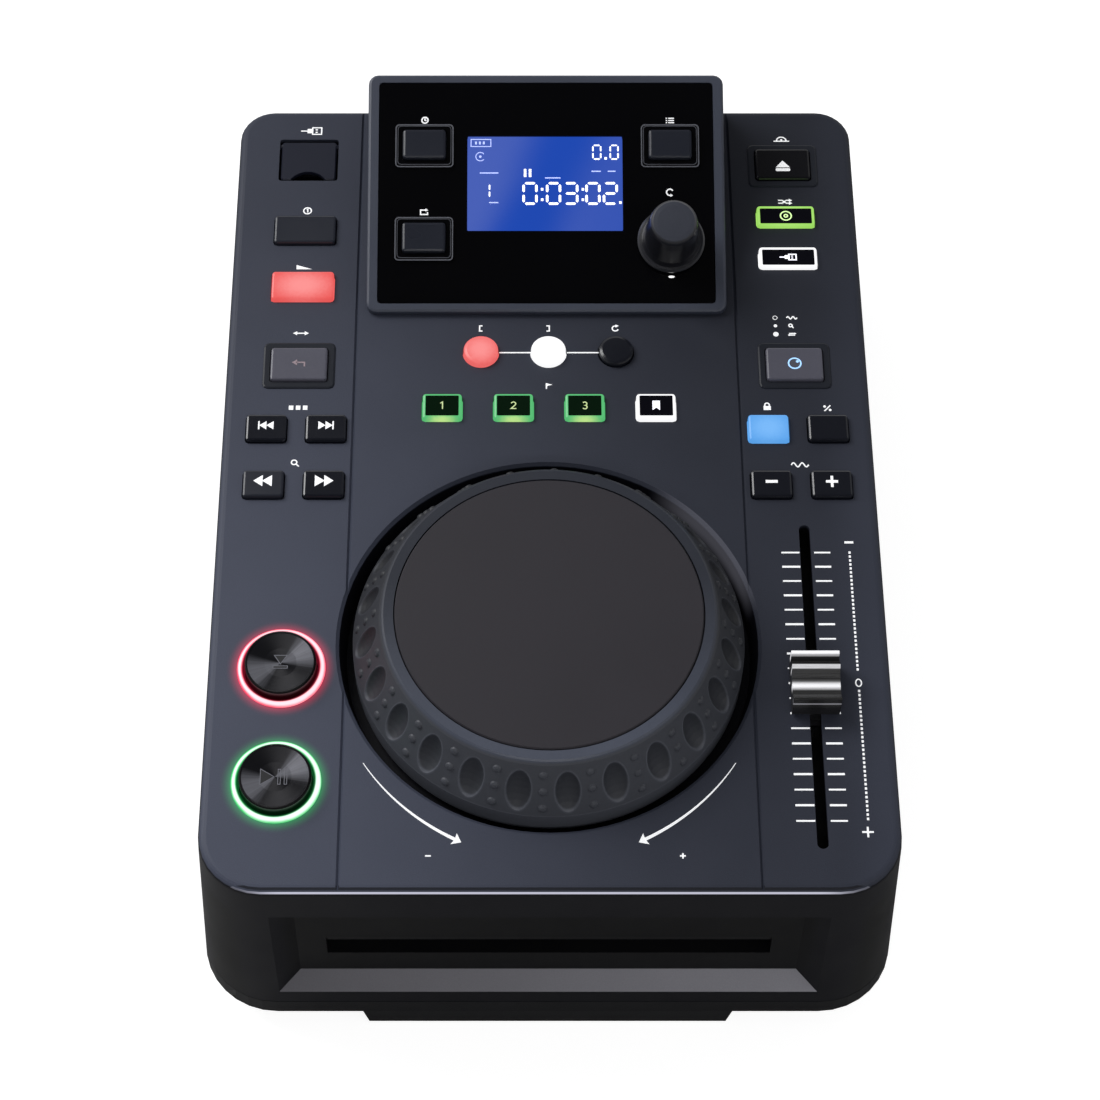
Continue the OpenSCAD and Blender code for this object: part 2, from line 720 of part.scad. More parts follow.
// ---------------------------------------------------------------- boards and sockets
module control_board() {
    left = [for (y = left_strip_y) from_front(y)];
    right = [for (y = right_strip_y) from_front(y)];
    bridge = [for (y = bridge_y) from_front(y)];
    color("#1f4a2c")
        difference() {
            union() {
                translate([0, 0, board_z - board_t])
                    linear_extrude(board_t)
                        polygon([
                            [-strip_out_x, left[0]], [-strip_in_x, left[0]],
                            [-strip_in_x, bridge[0]], [strip_in_x, bridge[0]],
                            [strip_in_x, right[0]], [strip_out_x, right[0]],
                            [strip_out_x, right[1]], [strip_in_x, right[1]],
                            [strip_in_x, bridge[1]], [-strip_in_x, bridge[1]],
                            [-strip_in_x, left[1]], [-strip_out_x, left[1]]]);
                for (k = concat(SQUARE_KEYS, LOOP_KEYS, PLAY_KEYS))
                    translate([k[0] - switch_w / 2, from_front(k[1]) - switch_w / 2, board_z - 0.3])
                        cube([switch_w, switch_w, switch_h + 0.3]);
            }
            for (b = BOSSES)
                translate([b[0], from_front(b[1]), board_z - board_t - 1])
                    cylinder(r = boss_r + 0.6, h = board_t + 2);
            // Clear of the data socket
            translate([-column_x, from_front(usb_y), board_z - 5]) cube([19, 12, 30], center = true);
        }
}

main_board_z = foot_h + tray_h + 0.5;
main_board_y = [frame_rear_y + 5, deck_d - 20];
main_board_w = deck_w - 42;
board_inset = main_board_w / 30;
BOARD_POSTS = [for (x = [-1, 1]) for (y = [main_board_y[0] + board_inset, main_board_y[1] - board_inset])
    [x * (main_board_w / 2 - board_inset), y]];
// A place on the main board, given as shares of its half width and of its depth
function on_board(x, y) = [x * main_board_w / 2,
    from_front(main_board_y[0] + y * (main_board_y[1] - main_board_y[0]))];
module board_part(x, y, w, l, h) {
    p = on_board(x, y);
    box(p.x - w / 2, p.x + w / 2, p.y - l / 2, p.y + l / 2, board_t - 0.1, board_t + h);
}
chip_w = 24;
capacitor_r = 5;
capacitor_h = 16;
module main_board() {
    color("#1f4a2c")
        translate([0, 0, main_board_z]) {
            box(-main_board_w / 2, main_board_w / 2, from_front(main_board_y[0]),
                from_front(main_board_y[1]), 0, board_t);
            // Processor, memory, regulator block, capacitors and connectors
            board_part(0, 0.47, chip_w, chip_w, 2.2);
            board_part(-0.42, 0.48, chip_w * 0.6, chip_w * 0.8, 1.6);
            board_part(0.67, 0.68, chip_w * 1.1, chip_w * 0.9, 12);
            for (x = [0.45, 0.61, 0.77])
                translate(concat(on_board(x, 0.89), board_t - 0.1))
                    cylinder(r = capacitor_r, h = capacitor_h);
            for (x = [-0.68, -0.23, 0.23])
                board_part(x, 0.055, chip_w * 0.75, chip_w * 0.25, 6);
        }
}

// Sockets on the rear panel, from the left as seen from behind
socket_z = (seam_z + window_z) / 2 - 4;
phono_x = 34;
start_x = -2;
power_x = -34;
switch_x = -62;
phono_out = 7.6;
phono_collar_r = 5.4;
phono_collar_out = 0.6;
phono_neck_r = 3.9;
phono_neck_l = 0.5;
module rear_panel_holes() {
    for (x = [phono_x, phono_x + phono_pitch])
        socket_hole(x, phono_collar_r + 0.25);
    socket_hole(start_x, start_collar_r + 0.25);
    socket_hole(power_x, power_collar_r + 0.25);
    box(switch_x - rocker_frame_w / 2 - 0.2, switch_x + rocker_frame_w / 2 + 0.2,
        panel_y - sheet_t - 1, panel_y + 1,
        socket_z - rocker_frame_h / 2 - 0.2, socket_z + rocker_frame_h / 2 + 0.2);
}

module socket_hole(x, r) {
    translate([x, panel_y + 1, socket_z]) rotate([90, 0, 0]) cylinder(r = r, h = sheet_t + 2);
}

start_collar_r = 4;
power_collar_r = 5.5;
rocker_frame_w = 15;
rocker_frame_h = 21;
module rear_sockets() {
    block_y = panel_y - sheet_t - 0.05;
    color("#17171a") {
        // Jack board, standing behind the panel
        box(switch_x - rocker_frame_w - 3, phono_x + phono_pitch + 12, block_y - 14, block_y - 12.4,
            socket_z - 15, socket_z + 14);
        for (x = [phono_x, phono_x + phono_pitch])
            translate([x, 0, socket_z])
                difference() {
                    union() {
                        box(-7, 7, block_y - 12.4, block_y, -7, 7);
                        // Collar through the panel, a short neck and the shell that takes a plug
                        translate([0, block_y - 0.5, 0])
                            rotate([-90, 0, 0])
                                cylinder(r = phono_collar_r, h = sheet_t + 0.55 + phono_collar_out);
                        translate([0, panel_y, 0])
                            rotate([-90, 0, 0])
                                cylinder(r = phono_neck_r, h = phono_out - 1);
                        translate([0, panel_y + phono_collar_out + phono_neck_l, 0])
                            rotate([-90, 0, 0])
                                cylinder(r = phono_r, h = phono_out - phono_collar_out - phono_neck_l);
                    }
                    translate([0, block_y - 8, 0]) rotate([-90, 0, 0]) cylinder(r = 1.7, h = 30);
                }
        translate([start_x, 0, socket_z])
            difference() {
                union() {
                    box(-6, 6, block_y - 12.4, block_y, -6, 6);
                    translate([0, block_y - 0.5, 0])
                        rotate([-90, 0, 0]) cylinder(r = start_collar_r, h = sheet_t + 0.55 + 2);
                }
                translate([0, block_y - 11, 0]) rotate([-90, 0, 0]) cylinder(r = start_bore_r, h = 30);
            }
        translate([power_x, 0, socket_z]) {
            difference() {
                union() {
                    box(-7, 7, block_y - 12.4, block_y, -7, 7);
                    translate([0, block_y - 0.5, 0])
                        rotate([-90, 0, 0]) cylinder(r = power_collar_r, h = sheet_t + 0.55 + 1);
                }
                translate([0, block_y - 10, 0]) rotate([-90, 0, 0]) cylinder(r = power_bore_r, h = 30);
            }
            translate([0, block_y - 10.5, 0]) rotate([-90, 0, 0]) cylinder(r = 1, h = 9);
        }
        // Frame and walls of the power switch
        translate([switch_x, 0, socket_z])
            difference() {
                union() {
                    box(-rocker_frame_w / 2, rocker_frame_w / 2, block_y - 12.4, panel_y + 0.5,
                        -rocker_frame_h / 2, rocker_frame_h / 2);
                    box(-rocker_frame_w / 2 - 1.5, rocker_frame_w / 2 + 1.5, panel_y + 0.05, panel_y + 1.4,
                        -rocker_frame_h / 2 - 1.5, rocker_frame_h / 2 + 1.5);
                }
                box(-rocker_w / 2 - 0.5, rocker_w / 2 + 0.5, block_y - 9, panel_y + 5,
                    -rocker_h / 2 - 1, rocker_h / 2 + 1);
                translate([0, panel_y - rocker_pin_in, 0])
                    rotate([0, 90, 0])
                        cylinder(r = rocker_pin_r + shaft_gap, h = rocker_w + 4, center = true);
            }
    }
}

rocker_w = 11;
rocker_h = 16.4;
rocker_pin_r = 1.2;
rocker_pin_in = 2;
// Lean of the rocker when its lower end is pressed in
rocker_tilt = -10;
module power_switch() {
    color("#1a1a1c")
        translate([switch_x, panel_y - rocker_pin_in, socket_z])
        rotate([rocker_tilt, 0, 0]) {
            rotate([90, 0, 90])
                linear_extrude(rocker_w, center = true)
                    polygon([[-3, -5], [-3, 5], [2.6, rocker_h / 2], [5.2, rocker_h / 2],
                        [3.4, 0], [5.2, -rocker_h / 2], [2.6, -rocker_h / 2]]);
            rotate([0, 90, 0]) cylinder(r = rocker_pin_r, h = rocker_w + 3, center = true);
        }
}

// ---------------------------------------------------------------- data socket and flap
usb_shell_t = 0.6;
usb_seat = 0.1;
usb_tongue_drop = 2;
module usb_socket() {
    depth = usb_block_h - usb_recess;
    color("#b8bac0")
        translate([-column_x, from_front(usb_y), deck_z - usb_block_h + 0.05]) {
            difference() {
                plate(usb_w + 2 * usb_shell_t, usb_l + 2 * usb_shell_t, 0.5, depth - 0.05);
                translate([0, 0, usb_shell_t]) plate(usb_w, usb_l, 0.3, depth);
            }
            translate([0, usb_l / 2 - 1.9, usb_shell_t - 0.1])
                plate(usb_w - 1.4, 1.84, 0.3, depth - usb_tongue_drop);
        }
}

module usb_flap() {
    notch_r = 7.3;
    color("#15161a")
        translate([-column_x, from_front(usb_y), deck_z])
            difference() {
                union() {
                    translate([0, 0, -flap_t - 0.3])
                        rounded_block(flap_w, flap_l, 1, [[0, 0], [flap_t - 0.4, 0], [flap_t, 0.4]]);
                    translate([0, flap_pin_y - usb_y, -usb_pin_drop])
                        rotate([0, 90, 0]) cylinder(r = 1.2, h = flap_w, center = true);
                    translate([0, flap_pin_y - usb_y, -usb_pin_drop])
                        rotate([0, 90, 0]) cylinder(r = flap_pin_r, h = flap_pin_l, center = true);
                }
                // Finger notch in the front edge
                translate([0, -flap_l / 2 - notch_r * 0.52, -flap_t - 1]) cylinder(r = notch_r, h = 4);
                // Room behind the pin for the flap to swing up
                box(-flap_w, flap_w, flap_pin_y - usb_y + 1.2, flap_l, -5, 2);
            }
}

module button_bezels() {
    color("#101114")
        for (k = FRAMED_KEYS)
            translate([k[0], from_front(k[1]), deck_z])
                difference() {
                    union() {
                        translate([0, 0, -deck_t])
                            plate(k[2] + 2 * bezel_w, k[3] + 2 * bezel_w, key_corner_r + bezel_w,
                                deck_t + 0.1);
                        rounded_block(k[2] + 2 * bezel_w + 0.8, k[3] + 2 * bezel_l + 0.6, 1.8,
                            [[0.02, 0], [bezel_rise - 0.2, 0.1], [bezel_rise, 0.6]]);
                    }
                    translate([0, 0, -deck_t - 1])
                        plate(k[2] + 2 * key_gap, k[3] + 2 * key_gap, 1.2, deck_t + 3);
                }
}

// ---------------------------------------------------------------- light rings and keys
light_neck_w = 1.6;
light_rise = 1.3;
module light_ring(k) {
    bore = play_r + key_gap;
    neck = play_r + key_gap + light_neck_w;
    translate([k[0], from_front(k[1]), deck_z])
        rotate_extrude()
            polygon([
                [bore, -deck_t - 0.8], [neck, -deck_t - 0.8], [neck, 0.02], [light_r, 0.02],
                [light_r, 0.5], [light_r - 0.5, light_rise - 0.2], [light_r - 1.3, light_rise],
                [bore + 0.9, light_rise], [bore, 0.6]]);
}

module cue_light_ring() {
    color("#ff5a78") light_ring(CUE);
}

module play_light_ring() {
    color("#35d07a") light_ring(PLAY);
}

// Lowest point of a key's flange, from the deck
flange_z = -deck_t - play_gap - flange_t;
stem_z = board_z + switch_h + key_travel + 0.4 - deck_z;

module square_key(k, rise = key_rise) {
    translate([k[0], from_front(k[1]), deck_z]) {
        rounded_block(k[2], k[3], key_corner_r,
            [[flange_z, 0], [rise - 0.7, 0], [rise - 0.2, 0.25], [rise, 0.75]]);
        translate([0, 0, flange_z])
            plate(k[2] + 2 * flange_w, k[3] + 2 * flange_w, key_corner_r, flange_t);
        translate([0, 0, stem_z]) cylinder(r = stem_r, h = flange_z - stem_z + 0.5, $fn = 24);
    }
}

// A framed key passes its bezel, so its flange sits below that
module framed_key(k) {
    square_key(k, bezel_rise + 1.1);
}

module loop_key(k) {
    translate([k[0], from_front(k[1]), deck_z]) {
        rotate_extrude()
            polygon([[0, flange_z], [loop_r + flange_w, flange_z], [loop_r + flange_w, flange_z + flange_t],
                [loop_r, flange_z + flange_t], [loop_r, 1.4], [loop_r - 0.35, 1.9], [loop_r - 1.2, 2.15],
                [loop_r * 0.3, 2.3], [0, 2.3]]);
        translate([0, 0, stem_z]) cylinder(r = stem_r, h = flange_z - stem_z + 0.5, $fn = 24);
    }
}

// Round metal key with a turned dish; its flange is below the light ring
module round_key(k) {
    neck_z = -deck_t - 0.8 - play_gap;
    translate([k[0], from_front(k[1]), deck_z]) {
        rotate_extrude()
            polygon([[0, neck_z - flange_t], [play_r + flange_w, neck_z - flange_t],
                [play_r + flange_w, neck_z],
                [play_r, neck_z], [play_r, play_rise - 0.5], [play_r - 0.4, play_rise],
                [play_r - 0.7, play_rise], [play_r - 0.9, play_rise - 0.25],
                [play_r * 0.45, play_rise - 0.65], [0, play_rise - 0.75]]);
        translate([0, 0, stem_z]) cylinder(r = stem_r, h = neck_z - flange_t - stem_z + 0.5, $fn = 24);
    }
}

module panel_key(k) {
    low = -gloss_t - play_gap - flange_t;
    stem = -pod_board_drop + switch_h + key_travel + 0.4;
    on_face(k[0], k[1], 0) {
        rounded_block(panel_key_w, panel_key_l, key_corner_r,
            [[low, 0], [rim_h + 0.9, 0], [rim_h + 1.5, 0.3], [rim_h + 1.7, 0.9]]);
        translate([0, 0, low])
            plate(panel_key_w + 2 * flange_w, panel_key_l + 2 * flange_w, key_corner_r, flange_t);
        translate([0, 0, stem]) cylinder(r = stem_r, h = low - stem + 0.5, $fn = 24);
    }
}

// ---------------------------------------------------------------- jog wheel
jog_bottom = -well_depth + 3;
jog_skirt_top = 0.8;
jog_wall_t = 2.6;
jog_shoulder_r = jog_ring_r + 1.5;
jog_shoulder_z = jog_rise - 1.4;
touch_seat_z = jog_rise - 2.4;
// Slope of the wheel's cone and the middle of that slope
cone_run = jog_r - jog_shoulder_r;
cone_rise = jog_shoulder_z - jog_skirt_top;
cone_angle = atan2(cone_rise, cone_run);
cone_mid = [jog_r - cone_run * 0.5, jog_skirt_top + cone_rise * 0.48];
dimple_w = 8.2;
dimple_l = 15.2;
bump_r = 1.5;
bump_out = 0.85;
bump_pitch = 6.3;

module at_jog() {
    translate([0, from_front(jog_y), deck_z]) children();
}

// Places children on the wheel's cone: X along the slope outwards and down, Z out of it
module on_cone(angle, along) {
    rotate([0, 0, angle])
        translate([cone_mid.x, 0, cone_mid.y])
            rotate([0, cone_angle, 0])
                translate([along, 0, 0])
                    children();
}

// A lemon-shaped cutter whose side leaves an oval dimple
module dimple_cutter() {
    across_r = (pow(dimple_w / 2, 2) + pow(dimple_depth, 2)) / (2 * dimple_depth);
    along_r = (pow(dimple_l / 2, 2) + pow(dimple_depth, 2)) / (2 * dimple_depth);
    half = acos((along_r - across_r) / along_r);
    translate([0, 0, across_r - dimple_depth])
        rotate([0, 90, 0])
            rotate_extrude()
                polygon([for (a = [-half:half / 6:half + 0.01])
                    [max(along_r * cos(a) - along_r + across_r, 0), along_r * sin(a)]]);
}

// A low round bump that stands on the cone
module bump() {
    rotate_extrude($fn = 24)
        polygon([[0, -1.2], [bump_r, -1.2], [bump_r, 0.15], [bump_r * 0.75, bump_out * 0.75],
            [bump_r * 0.35, bump_out], [0, bump_out]]);
}

module jog_wheel() {
    t = jog_wall_t;
    color("#333438")
        at_jog()
            difference() {
                union() {
                    rotate_extrude($fn = 96)
                        polygon([
                            [touch_r + 0.4, jog_rise], [touch_r + 0.4, touch_seat_z], [16, touch_seat_z],
                            [16, touch_seat_z - t], [jog_ring_r - t, touch_seat_z - t],
                            [jog_r - t, jog_skirt_top - 1], [jog_r - t, jog_bottom], [jog_r - 0.6,
                            jog_bottom],
                            [jog_r, jog_bottom + 0.6], [jog_r, jog_skirt_top], [jog_shoulder_r,
                            jog_shoulder_z],
                            [jog_ring_r + 0.6, jog_rise - 0.4], [jog_ring_r, jog_rise]]);
                    for (i = [0:dimples - 1])
                        for (k = [-1, 0, 1])
                            on_cone(jog_turn + (i + 0.5) * 360 / dimples, k * bump_pitch)
                                bump();
                }
                for (i = [0:dimples - 1])
                    on_cone(jog_turn + i * 360 / dimples, 0) dimple_cutter();
            }
}

module touch_disc() {
    color("#343035")
        at_jog()
            translate([0, 0, touch_seat_z + 0.05])
                rotate_extrude($fn = 96)
                    polygon([[0, 0], [touch_r, 0], [touch_r, touch_rise + 1.9],
                        [touch_r - 0.4, touch_rise + 2.3],
                        [0, touch_rise + 2.35]]);
}

// Shaft, hub flange under the wheel and slotted encoder disc below the well
encoder_z = -well_depth - deck_t - 6;
encoder_r = 26;
module jog_shaft() {
    slots = 36;
    color("#9a9ca2")
        at_jog()
            difference() {
                union() {
                    translate([0, 0, encoder_z - 2])
                        cylinder(r = jog_shaft_r, h = touch_seat_z - encoder_z + 2 - jog_wall_t);
                    translate([0, 0, touch_seat_z - jog_wall_t - 3])
                        cylinder(r = 22, h = 2.95);
                    translate([0, 0, encoder_z - 3]) cylinder(r = 7, h = 4);
                    translate([0, 0, encoder_z]) cylinder(r = encoder_r, h = 0.8);
                }
                for (i = [0:slots - 1])
                    rotate([0, 0, i * 360 / slots])
                        translate([encoder_r - 4, -0.7, encoder_z - 1])
                            cube([2.6, 1.4, 3]);
            }
}

module jog_bearing() {
    color("#b08d57")
        at_jog()
            difference() {
                union() {
                    translate([0, 0, -well_depth]) cylinder(r = bearing_flange_r, h = 2.4);
                    translate([0, 0, -well_depth - deck_t - 2])
                        cylinder(r = bearing_r - 0.05, h = deck_t + 3);
                }
                translate([0, 0, -well_depth - deck_t - 3])
                    cylinder(r = jog_shaft_r + shaft_gap, h = 20);
            }
}

// ---------------------------------------------------------------- pitch fader
fader_w = 13;
fader_h = 10;
rod_r = 1;
rod_dx = 3.4;
rod_z = -deck_t - 6;
carriage_l = 14;
blade_t = 1.4;
blade_l = 5;
module at_fader(y) {
    translate([column_x, from_front(fader_y + y), deck_z]) children();
}

module pitch_fader_body() {
    color("#8f9196")
        at_fader(0) {
            difference() {
                box(-fader_w / 2, fader_w / 2, -fader_len / 2, fader_len / 2, -deck_t - fader_h,
                    -deck_t - 0.02);
                box(-fader_w / 2 + 1, fader_w / 2 - 1, -fader_len / 2 + 2, fader_len / 2 - 2,
                    -deck_t - fader_h + 1, 0);
            }
            for (x = [-rod_dx, rod_dx])
                translate([x, fader_len / 2 - 1, rod_z])
                    rotate([90, 0, 0]) cylinder(r = rod_r, h = fader_len - 2);
        }
}

module pitch_lever() {
    color("#c4c6cc")
        at_fader(fader_rest) {
            difference() {
                box(-fader_w / 2 + 1.5, fader_w / 2 - 1.5, -carriage_l / 2, carriage_l / 2,
                    rod_z - 2, rod_z + 2);
                for (x = [-rod_dx, rod_dx])
                    translate([x, carriage_l / 2 + 1, rod_z])
                        rotate([90, 0, 0]) cylinder(r = rod_r + shaft_gap, h = carriage_l + 2);
            }
            box(-blade_t / 2, blade_t / 2, -blade_l / 2, blade_l / 2, rod_z + 1, cap_rise - 5);
        }
}

// Cap: two ridges at its rear, then a wide saddle that rises to a thin lip
module pitch_cap() {
    foot = 1;
    half = cap_l / 2;
    top = cap_rise;
    color("#3a3b3f")
        at_fader(fader_rest)
            difference() {
                rotate([90, 0, 90])
                    linear_extrude(cap_w, center = true)
                        polygon([[half, foot], [half, top - 1], [half - 0.3, top - 0.4],
                            [half - 1.4, top - 0.4],
                            [half - 1.6, top - 1.8], [half - 4.2, top - 1.8], [half - 4.4, top - 0.3],
                            [half - 4.7, top], [half - 5.8, top], [half - 6.2, top - 0.4],
                            [half * 0.16, top - 1.6], [0, top - 2.4], [-half * 0.22, top - 3],
                            [-half * 0.44, top - 3.1], [-half * 0.66, top - 2.5], [-half * 0.84, top - 1.3],
                            [-half + 1.1, top - 0.8], [-half + 0.5, top - 1.1], [-half, foot]]);
                box(-blade_t / 2 - 0.05, blade_t / 2 + 0.05, -blade_l / 2 - 0.05, blade_l / 2 + 0.05,
                    -1, top - 4.9);
            }
}

// ---------------------------------------------------------------- select knob
module select_shaft() {
    color("#a9abb0")
        on_face(KNOB[0], KNOB[1], -pod_board_drop + 1)
            cylinder(r = shaft_r, h = pod_board_drop + knob_h - 6);
}

module select_knob() {
    low = key_travel + 0.3;
    color("#151518")
        on_face(KNOB[0], KNOB[1], 0)
            difference() {
                rotate_extrude()
                    polygon([[0, low], [knob_r, low], [knob_r, low + 0.8], [knob_r - 0.6, low + 1.4],
                        [knob_r - 1.4, low + 1.6], [knob_r - 2, low + 4.5], [knob_r - 2.9, knob_h - 6],
                        [knob_r - 3.4, knob_h - 2], [knob_r - 3.8, knob_h - 0.9], [knob_r - 4.6,
                        knob_h - 0.2],
                        [knob_r - 6, knob_h], [0, knob_h + 0.2]]);
                translate([0, 0, -1]) cylinder(r = shaft_r + shaft_gap, h = knob_h - 3.6);
            }
}

// ---------------------------------------------------------------- disc drive
frame_w = 138;
frame_t = 1.6;
frame_y = [16, frame_rear_y];
frame_base_z = disc_z - 23;
frame_top_z = disc_z + 8;
clamp_r = 15;
module drive_frame() {
    w = frame_w / 2;
    y0 = from_front(frame_y[0]);
    y1 = from_front(frame_y[1]);
    color("#8b8d92")
        difference() {
            union() {
                box(-w, w, y0, y1, frame_base_z, frame_base_z + frame_t);
                for (x = [-w, w - frame_t])
                    box(x, x + frame_t, y0, y1, frame_base_z, frame_top_z + frame_t);
                box(-w, w, from_front(spindle_y - 26), from_front(spindle_y + 26), frame_top_z,
                    frame_top_z + frame_t);
                // Rear stop of the disc
                box(-30, 30, y1 - frame_t, y1, frame_base_z, disc_z + 6);
                // Legs on the tray
                for (x = [-w + 6, w - 6])
                    for (y = [frame_y[0] + 18, frame_y[1] - 8])
                        translate([x, from_front(y), floor_z])
                            cylinder(r = 3.5, h = frame_base_z - floor_z + 0.5);
                // Dampers that the lowered traverse rests on
                for (x = [-1, 1])
                    for (y = [traverse_y[0] + 6, traverse_y[1] - 6])
                        translate([x * (traverse_w / 2 - 4), from_front(y), frame_base_z + 1])
                            cylinder(r = 3, h = traverse_z - frame_base_z - 1 - 0.2);
            }
            // Room for the traverse and its motor
            box(-traverse_w / 2 + 10, traverse_w / 2 - 10, from_front(traverse_y[0] - 2),
                from_front(traverse_y[1] + 2),
                frame_base_z - 1, frame_base_z + frame_t + 1);
            // Hole of the clamp
            translate([0, from_front(spindle_y), frame_top_z - 1])
                cylinder(r = clamp_hole_r, h = frame_t + 2);
            // Ends of the roller's axle
            translate([0, from_front(roller_y), roller_z])
                rotate([0, 90, 0]) cylinder(r = roller_axle_r + shaft_gap, h = frame_w + 10, center = true);
        }
}

roller_y = 27;
roller_r = 4;
roller_axle_r = 1.5;
roller_z = disc_z - 2.6 - roller_r;
module loading_roller() {
    color("#202022")
        translate([0, from_front(roller_y), roller_z])
            rotate([0, 90, 0]) {
                cylinder(r = roller_axle_r, h = frame_w + 6, center = true);
                // Two cones, thicker at their ends, so the roller grips a disc by its rim
                for (side = [-1, 1])
                    rotate([side > 0 ? 0 : 180, 0, 0])
                        cylinder(r1 = roller_r - 0.8, r2 = roller_r, h = 62);
            }
}

clamp_hole_r = 11;
module disc_clamp() {
    color("#2b2b2e")
        translate([0, from_front(spindle_y), 0])
            rotate_extrude()
                polygon([[0, disc_z + 3], [clamp_r, disc_z + 3], [clamp_r, disc_z + 5.2],
                    [clamp_hole_r - 0.6, disc_z + 5.2], [clamp_hole_r - 0.6, frame_top_z + frame_t + 0.8],
                    [clamp_r - 1, frame_top_z + frame_t + 0.8], [clamp_r - 1, frame_top_z + frame_t + 2.4],
                    [0, frame_top_z + frame_t + 2.4]]);
}

// Traverse: the plate that carries the motor, the rods and the pickup
traverse_z = disc_z - 18;
traverse_w = 118;
traverse_y = [spindle_y - 40, spindle_y + 74];
pickup_rod_r = 1.5;
pickup_rod_x = 24;
pickup_rod_z = traverse_z + 6;
motor_r = 11;
spindle_r = 1.5;
pickup_start = 22;
sled_l = 16;
module traverse_plate() {
    y0 = from_front(traverse_y[0]);
    y1 = from_front(traverse_y[1]);
    color("#6f7176")
        difference() {
            union() {
                box(-traverse_w / 2, traverse_w / 2, y0, y1, traverse_z, traverse_z + 1.6);
                for (y = [y0, y1 - 4])
                    box(-pickup_rod_x - 12, pickup_rod_x + 4, y, y + 4, traverse_z, pickup_rod_z + 4);
                for (x = [-pickup_rod_x, pickup_rod_x])
                    translate([x, y1 - 1, pickup_rod_z])
                        rotate([90, 0, 0]) cylinder(r = pickup_rod_r, h = y1 - y0 - 2);
                translate([0, from_front(spindle_y), traverse_z - 5]) cylinder(r = motor_r, h = 14);
            }
            translate([0, from_front(spindle_y), traverse_z - 6])
                cylinder(r = spindle_r + shaft_gap, h = 20);
            for (y = [y0 - 1, y1 - 5])
                translate([-pickup_rod_x - 8, y, pickup_rod_z])
                    rotate([-90, 0, 0]) cylinder(r = lead_r + shaft_gap, h = 6);
        }
}

module turntable() {
    hub_r = 7.3;
    color("#333336")
        translate([0, from_front(spindle_y), 0])
            rotate_extrude()
                polygon([[0, traverse_z - 4], [spindle_r, traverse_z - 4], [spindle_r, traverse_z + 10],
                    [turntable_r - 2, traverse_z + 10.4], [turntable_r, disc_z - 7], [turntable_r,
                    disc_z - 5.2],
                    [hub_r, disc_z - 5.2], [hub_r, disc_z - 3.6], [hub_r - 2, disc_z - 2.6], [0,
                    disc_z - 2.6]]);
}

lead_r = 1.4;
module lead_screw() {
    l = traverse_y[1] - traverse_y[0];
    color("#c2c4c9")
        translate([-pickup_rod_x - 8, from_front(traverse_y[0]) + 0.3, pickup_rod_z])
            rotate([-90, 0, 0]) {
                cylinder(r = lead_r, h = l - 0.6);
                translate([0, 0, l + 0.2]) cylinder(r = 4, h = 3);
                translate([0, 0, l - 1]) cylinder(r = lead_r, h = 2);
            }
}

module pickup_sled() {
    y0 = from_front(spindle_y + pickup_start) - sled_l / 2;
    color("#4a4b50")
        difference() {
            union() {
                box(-pickup_rod_x - 4, pickup_rod_x + 4, y0, y0 + sled_l, pickup_rod_z - 3,
                    pickup_rod_z + 3);
                box(-pickup_rod_x - 12, -pickup_rod_x - 3, y0 + sled_l / 4, y0 + sled_l * 0.75,
                    pickup_rod_z - 3, pickup_rod_z + 3);
                translate([0, y0 + sled_l / 2, pickup_rod_z + 2.5]) cylinder(r = 4, h = 2.4);
            }
            for (x = [-pickup_rod_x, pickup_rod_x])
                translate([x, y0 - 1, pickup_rod_z])
                    rotate([-90, 0, 0]) cylinder(r = pickup_rod_r + shaft_gap, h = sled_l + 2);
            translate([-pickup_rod_x - 8, y0 - 1, pickup_rod_z])
                rotate([-90, 0, 0]) cylinder(r = lead_r + shaft_gap, h = sled_l + 2);
        }
}

// ---------------------------------------------------------------- keys by name
module dark_key(k) {
    color("#202126") square_key(k);
}

module time_key() {
    color("#16171a") panel_key(TIME);
}
module repeat_key() {
    color("#16171a") panel_key(REPEAT);
}
module program_key() {
    color("#16171a") panel_key(PROGRAM);
}
module loop_in_key() {
    color("#f07470") loop_key(LOOP_IN);
}
module loop_out_key() {
    color("#f4f4f4") loop_key(LOOP_OUT);
}
module reloop_key() {
    color("#17181b") loop_key(RELOOP);
}
module hot_cue_1_key() {
    color("#2f7d4a") square_key(HOT_1);
}
module hot_cue_2_key() {
    color("#2f7d4a") square_key(HOT_2);
}
module hot_cue_3_key() {
    color("#2f7d4a") square_key(HOT_3);
}
module memo_key() {
    color("#e8e8ea") square_key(MEMO);
}
module single_key() {
    dark_key(SINGLE);
}
module brake_key() {
    color("#f07470") square_key(BRAKE);
}
module reverse_key() {
    color("#202126") framed_key(REVERSE);
}
module track_back_key() {
    dark_key(TRACK_BACK);
}
module track_forward_key() {
    dark_key(TRACK_FORWARD);
}
module search_back_key() {
    dark_key(SEARCH_BACK);
}
module search_forward_key() {
    dark_key(SEARCH_FORWARD);
}
module cue_key() {
    color("#3c3d42") round_key(CUE);
}
module play_key() {
    color("#3c3d42") round_key(PLAY);
}
module eject_key() {
    color("#202126") framed_key(EJECT);
}
module source_disc_key() {
    color("#a8dc6a") square_key(SOURCE_DISC);
}
module source_usb_key() {
    color("#e8e8ea") square_key(SOURCE_USB);
}
module jog_mode_key() {
    color("#202126") framed_key(JOG_MODE);
}
module master_tempo_key() {
    color("#5fa6e0") square_key(MASTER_TEMPO);
}
module pitch_range_key() {
    dark_key(PITCH_RANGE);
}
module bend_minus_key() {
    dark_key(BEND_MINUS);
}
module bend_plus_key() {
    dark_key(BEND_PLUS);
}

